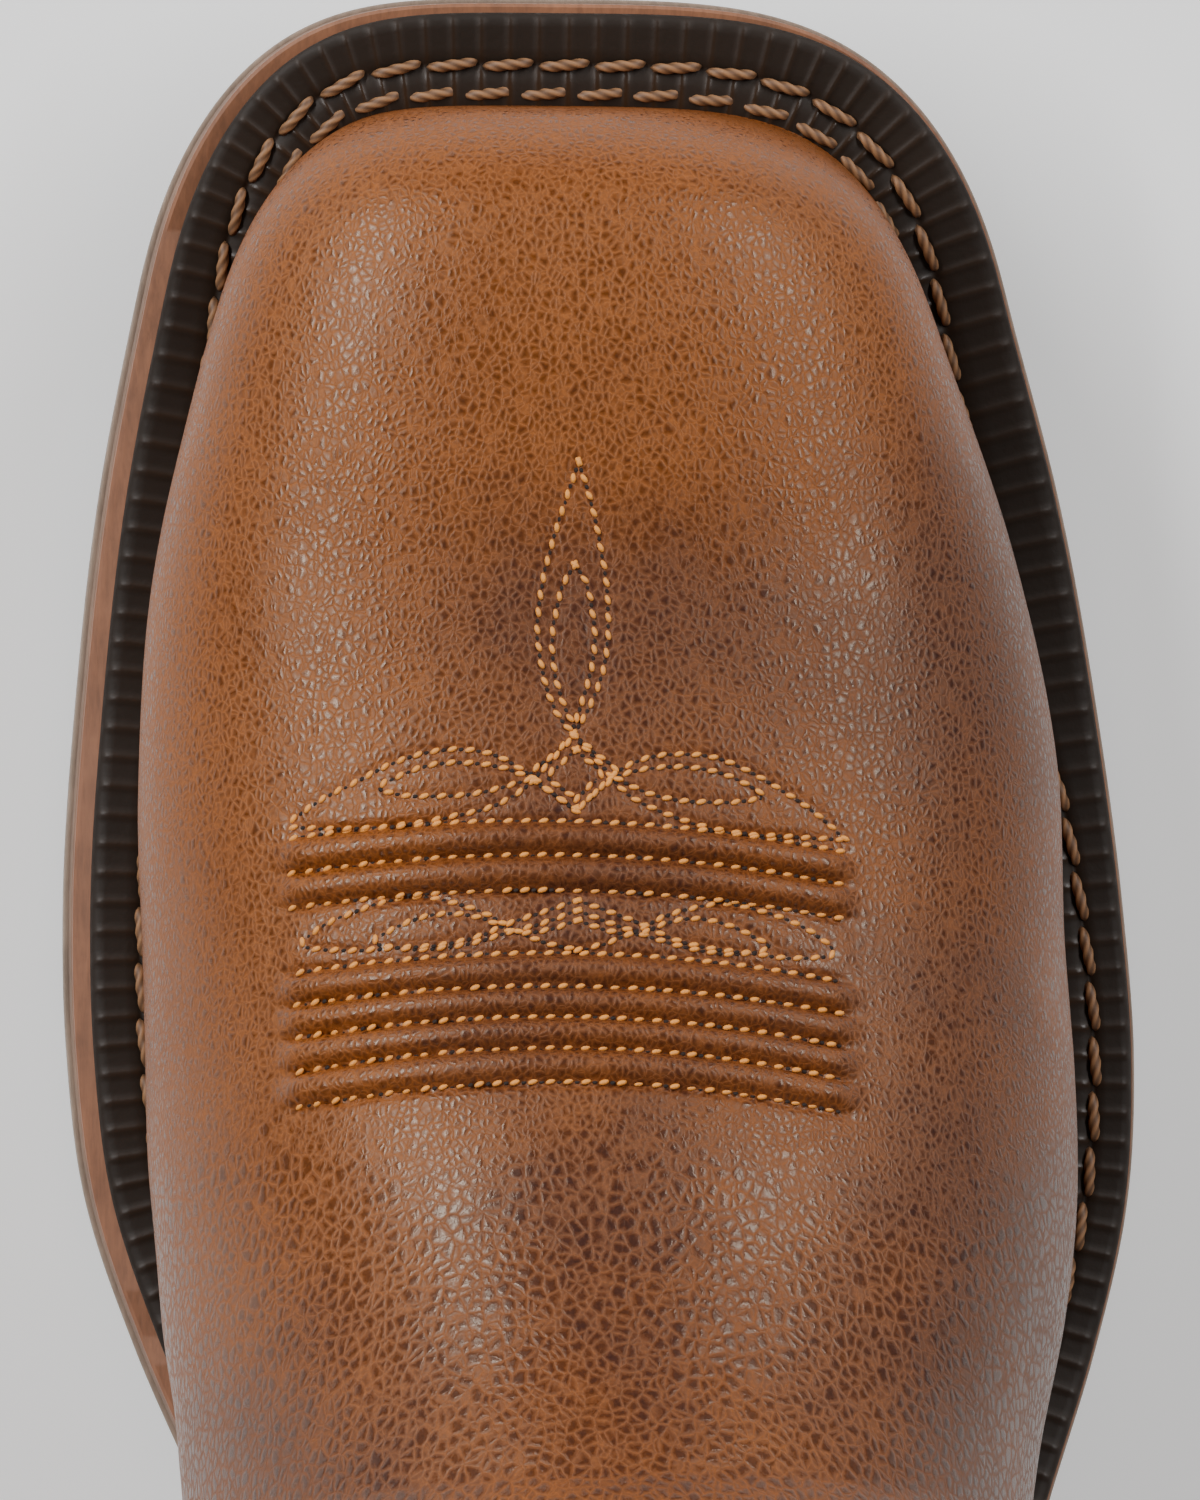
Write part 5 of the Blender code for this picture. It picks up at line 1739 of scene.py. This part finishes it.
def buildBinding():
    # A folded strip: its section is a narrow U turned over the collar, carried all the way round
    look = bindingLook
    turn = np.linspace(0, 2, look["columns"])
    foot = belowCollar(bindingDepth)
    drop = collarStation - foot
    thick = gap + bindingThickness
    middle, reach = -wall / 2, wall / 2
    outside = [(foot, gap + look["footLift"], 0)]
    for share in np.linspace(*look["rowShares"], look["rows"]):
        out = thick - look["footDrop"] * (1 - ease(share * look["footSteepness"]))
        outside.append((foot + drop * share, out, 0))
    inside = [(foot + drop * share, -wall - thick, 0) for share in (look["rowShares"][1], 0.5, 0.0)]
    back = [(foot, -wall - gap, 0), (collarStation, -wall - gap, 0)]
    fold = np.linspace(0, pi, look["foldRows"])
    over, under = (
        [(collarStation, middle + (reach + out) * np.cos(a), out * np.sin(a)) for a in fold]
        for out in (thick, gap)
    )
    profile = outside + over + inside + back + under[-2::-1] + [(foot, gap, 0)]
    lines = []
    for side in (medial, lateral):
        columns = []
        for station, out, up in profile:
            line = skin(np.full_like(turn, station), turn, side, out)
            line[:, 2] += up
            columns.append(line)
        columns = np.stack(columns, 1)
        lines.append(columns if side == medial else columns[-2:0:-1])
    points = np.concatenate(lines)
    faces = gridQuads(*points.shape[:2], closedRows=True, closedColumns=True)
    values = evenValues(points, look["burnishAndShade"])
    makePiece("collarTape", points, [faces], [tan], ["collar_binding"], values, sharp=pi / 4)


pipingLook = {"rows": 120, "columns": 13, "edgeShare": 0.25}


def buildPiping(side, name, node):
    # Half-round bead down the side seam: height over the leather = sqrt(1 - across^2)
    reach = pipingWidth / 2 / sideRun()
    low = counterEdges(np.array([0, 1 - 2 * reach]))[1][1] + pipingSetback
    station = np.linspace(low, pipingTop, pipingLook["rows"])[:, None]
    across = np.cos(np.linspace(pi, 0, pipingLook["columns"]))
    turn = 1 + across * reach
    edge = pipingLook["edgeShare"]
    dome = gap + pipingHeight * (edge + (1 - edge) * np.sqrt(1 - across**2))
    over = skin(station, turn[None, :], side, dome[None, :])
    under = skin(station, turn[None, ::4], side, gap)[:, ::-1]
    closedTube(name, np.concatenate([over, under], 1), pipingLeather, node)


strapLook = {
    "columns": 17,
    "outerRows": 20,
    "loopRows": 30,
    "innerRows": 18,
    "legStart": 0.1,
    "loopPast": 0.22,
    "loopLift": 10.0 * mm,
    "edgeDrop": 0.35,
    "burnishAndShade": 0.35,
}


def strapPath(side, turn):
    # Centre surface of a pull strap: up the outside, round the loop over the collar, down the inside
    look = strapLook
    collar = np.full_like(turn, collarStation)
    rim, normal = skin(collar, turn, side), formNormal(collar, turn, side)
    lay = 2 * gap + bindingThickness + strapThickness / 2
    outerAt, innerAt = lay, -wall - lay
    centreOut = (outerAt + innerAt) / 2
    centreUp = gap + bindingThickness + look["loopLift"]
    outerLeg = np.linspace(1, look["legStart"], look["outerRows"]) * strapOuterLeg
    path = [skin(belowCollar(down) + 0 * turn, turn, side, outerAt) for down in outerLeg]
    past = look["loopPast"] * pi
    for angle in np.linspace(-past, pi + past, look["loopRows"]):
        out = centreOut + strapLoopRadius * np.cos(angle)
        up = centreUp + strapLoopRadius * np.sin(angle)
        path.append(rim + normal * out + np.array([0, 0, up]))
    innerLeg = np.linspace(look["legStart"], 1, look["innerRows"]) * strapInnerLeg
    path += [skin(belowCollar(down) + 0 * turn, turn, side, innerAt) for down in innerLeg]
    path = np.array(path)
    return path, unit(np.cross(np.gradient(path, axis=0), np.gradient(path, axis=1)))


def buildStrap(side, name, node):
    # The strap's centre surface given its thickness, a little less at both edges
    look = strapLook
    reach = strapWidth / 2 / sideRun()
    turn = 1 + np.sin(np.linspace(-pi / 2, pi / 2, look["columns"])) * reach
    path, across = strapPath(side, turn)
    edge = np.abs(np.linspace(-1, 1, look["columns"]))
    half = strapThickness / 2 * (1 - look["edgeDrop"] * edge**12)[None, :, None]
    points = np.concatenate([path + across * half, (path - across * half)[:, ::-1]], 1)
    closedTube(name, points, tan, node, evenValues(points, look["burnishAndShade"]))


seamLook = {
    "pitch": 2.9 * mm,
    "bead": (1.7 * mm, 0.72 * mm, 0.5 * mm),
    "beadLift": 0.08 * mm,
    "holeShade": (0.6 * mm, 0.6 * mm, 0.16 * mm),
    "holeShadeLift": 0.0,
    "fromEdge": (1.8 * mm, 4.4 * mm),
    "strapSide": 2.0 * mm,
    "strapFoot": 2.4 * mm,
    "strapTop": 12 * mm,
    "strapPoints": 60,
    "vampTurns": (0.06, 2, 160),
    "counterTurns": (0.02, 0.95, 120),
    "bindingTurns": (0, 2, 200),
}


def beside(station, turn, side, away):
    # Stations moved away from a line by a real distance, measured along the form's station lines
    span = form(station + formStep, turn, side) - form(station - formStep, turn, side)
    return station + away / (np.linalg.norm(span, axis=-1) / (2 * formStep))


def seamStitches(name, lines):
    # Stitch rows along lines of (station, turn, side, out), two points to a stitch
    made = []
    for station, turn, side, out in lines:
        turn = turn + 0 * station
        dense = np.concatenate([skin(station, turn, side, out), formNormal(station, turn, side)], 1)
        line, _ = evenPath(dense, pitch=seamLook["pitch"] / 2)
        points, facing = line[:, :3], unit(line[:, 3:])
        made.append((points, unit(np.gradient(points, axis=0)), facing))
    beadsAndHoles(name, name + "HoleShade", made, seamLook)


def buildSeamStitches():
    # Double rows behind the edges of vamp and counter, one row along the binding, and a box
    # on each strap
    look = seamLook
    vampTurn, counterTurn, bindingTurn = (
        np.linspace(*look[name]) for name in ("vampTurns", "counterTurns", "bindingTurns")
    )
    vamp, counter, binding, strap = [], [], [], []
    for side in (medial, lateral):
        for away in look["fromEdge"]:
            vampRow = beside(seamStation(vampTurn), vampTurn, side, -away)
            vamp.append((vampRow, vampTurn, side, vampStep))
            counterRow = beside(counterEdges(counterTurn)[1], counterTurn, side, -away)
            counter.append((counterRow, counterTurn, side, gap + counterThickness))
        station = belowCollar(bindingDepth - look["fromEdge"][0])
        binding.append((station + 0 * bindingTurn, bindingTurn, side, gap + bindingThickness))
        reach = (strapWidth / 2 - look["strapSide"]) / sideRun()
        out = 2 * gap + bindingThickness + strapThickness
        low, high = belowCollar(strapOuterLeg - look["strapFoot"]), belowCollar(look["strapTop"])
        count = look["strapPoints"]
        for edge in (-reach, reach):
            strap.append((np.linspace(low, high, count), 1 + edge, side, out))
        for level in (low, high):
            strap.append((np.full(count, level), 1 + np.linspace(-reach, reach, count), side, out))
    seamStitches("vampSeamStitches", vamp)
    seamStitches("counterStitches", counter)
    seamStitches("bindingStitches", binding)
    seamStitches("strapStitches", strap)


vampSurface, vampFacing = buildVamp()
buildPatternStitches(vampSurface, vampFacing)
buildShaft()
buildCounter()
buildBinding()
for side, word in ((medial, "medial"), (lateral, "lateral")):
    buildPiping(side, word + "Piping", "side_piping_" + word)
    buildStrap(side, word + "Strap", "pull_strap_" + word)
buildSeamStitches()
print("upper made")


# The stage

cameraLook = {
    "distance": 1.2,
    "target": (-0.0006, 0.0766, 0.0145),
    "tilt": 4.0,
    "roll": 0.25,
    "frameHeight": 159.8 * mm,
    "sensor": 36,
}


def aim(thing, target, up=(0, 1, 0)):
    # Turns a light or camera to a point: its -Z runs there, its Y as near to up as can be
    back = unit(np.array(thing.location) - np.array(target))
    right = unit(np.cross(up, back))
    top = np.cross(back, right)
    turned = Matrix(np.stack([right, top, back], 1).tolist()).to_4x4()
    turned.translation = thing.location
    thing.matrix_world = turned


def addCamera():
    # Looks down on the forefoot; its lens = sensor * distance / height of the frame there
    look = cameraLook
    data = bpy.data.cameras.new("camera")
    camera = addToScene("camera", data)
    tilt, roll = np.radians(look["tilt"]), np.radians(look["roll"])
    away = np.array([-np.sin(tilt), 0, np.cos(tilt)]) * look["distance"]
    camera.location = np.array(look["target"]) + away
    aim(camera, look["target"], (-np.sin(roll), np.cos(roll), 0))
    data.sensor_width = look["sensor"]
    data.lens = look["sensor"] * look["distance"] / look["frameHeight"]
    data.clip_start, data.clip_end = 0.01, 50
    bpy.context.scene.camera = camera


# name, place, aim, width, length, power
lightTable = (
    ("leftStrip", (-0.66, 0.55, 0.78), (0, 0.07, 0.03), 0.14, 1.1, 13.5),
    ("rightStrip", (0.64, 0.60, 0.76), (0, 0.07, 0.03), 0.14, 1.1, 8.5),
    ("backFill", (0.0, -1.4, 1.0), (0, -0.05, 0.1), 0.9, 0.5, 3.0),
)
worldStrength = 0.11


def addLights():
    # The table's area lights, and a dim white world
    for name, place, target, width, length, power in lightTable:
        data = bpy.data.lights.new(name, "AREA")
        data.shape = "RECTANGLE"
        data.size, data.size_y = width, length
        data.energy = power
        lamp = addToScene(name, data)
        lamp.location = place
        aim(lamp, target)
    world = bpy.data.worlds.new("studio")
    world.use_nodes = True
    background = {"Color": (1, 1, 1, 1), "Strength": worldStrength}
    feed(world.node_tree, world.node_tree.nodes["Background"], background)
    bpy.context.scene.world = world


floorLook = {
    "nearShade": 0.92,
    "farShade": 0.40,
    "glow": 0.25,
    "fade": (0.40, 1.60),
    "roughness": 0.9,
    "side": 6.0,
}


def addFloor():
    # A pale floor with a painted pool of light: it glows a little near the boot and darkens away from it
    look = floorLook
    made, tree, where = newMaterial("paleFloor")
    away = put(tree, "ShaderNodeVectorMath", {0: where}, operation="LENGTH").outputs["Value"]
    near = softStep(tree, away, *look["fade"], 1.0, 0.0)
    change = calc(tree, "MULTIPLY", near, look["nearShade"] - look["farShade"])
    dress(made, {
        "Base Color": grey(tree, calc(tree, "ADD", look["farShade"], change)),
        "Emission Color": grey(tree, calc(tree, "MULTIPLY", near, look["glow"])),
        "Emission Strength": 1.0,
        "Roughness": look["roughness"],
    })
    mesh = bpy.data.meshes.new("floor")
    corners = [(x * look["side"], y * look["side"], 0) for x, y in ((-1, -1), (1, -1), (1, 1), (-1, 1))]
    mesh.from_pydata(corners, [], [(0, 1, 2, 3)])
    mesh.materials.append(made)
    addToScene("floor", mesh)


addCamera()
addLights()
addFloor()
print("stage made")
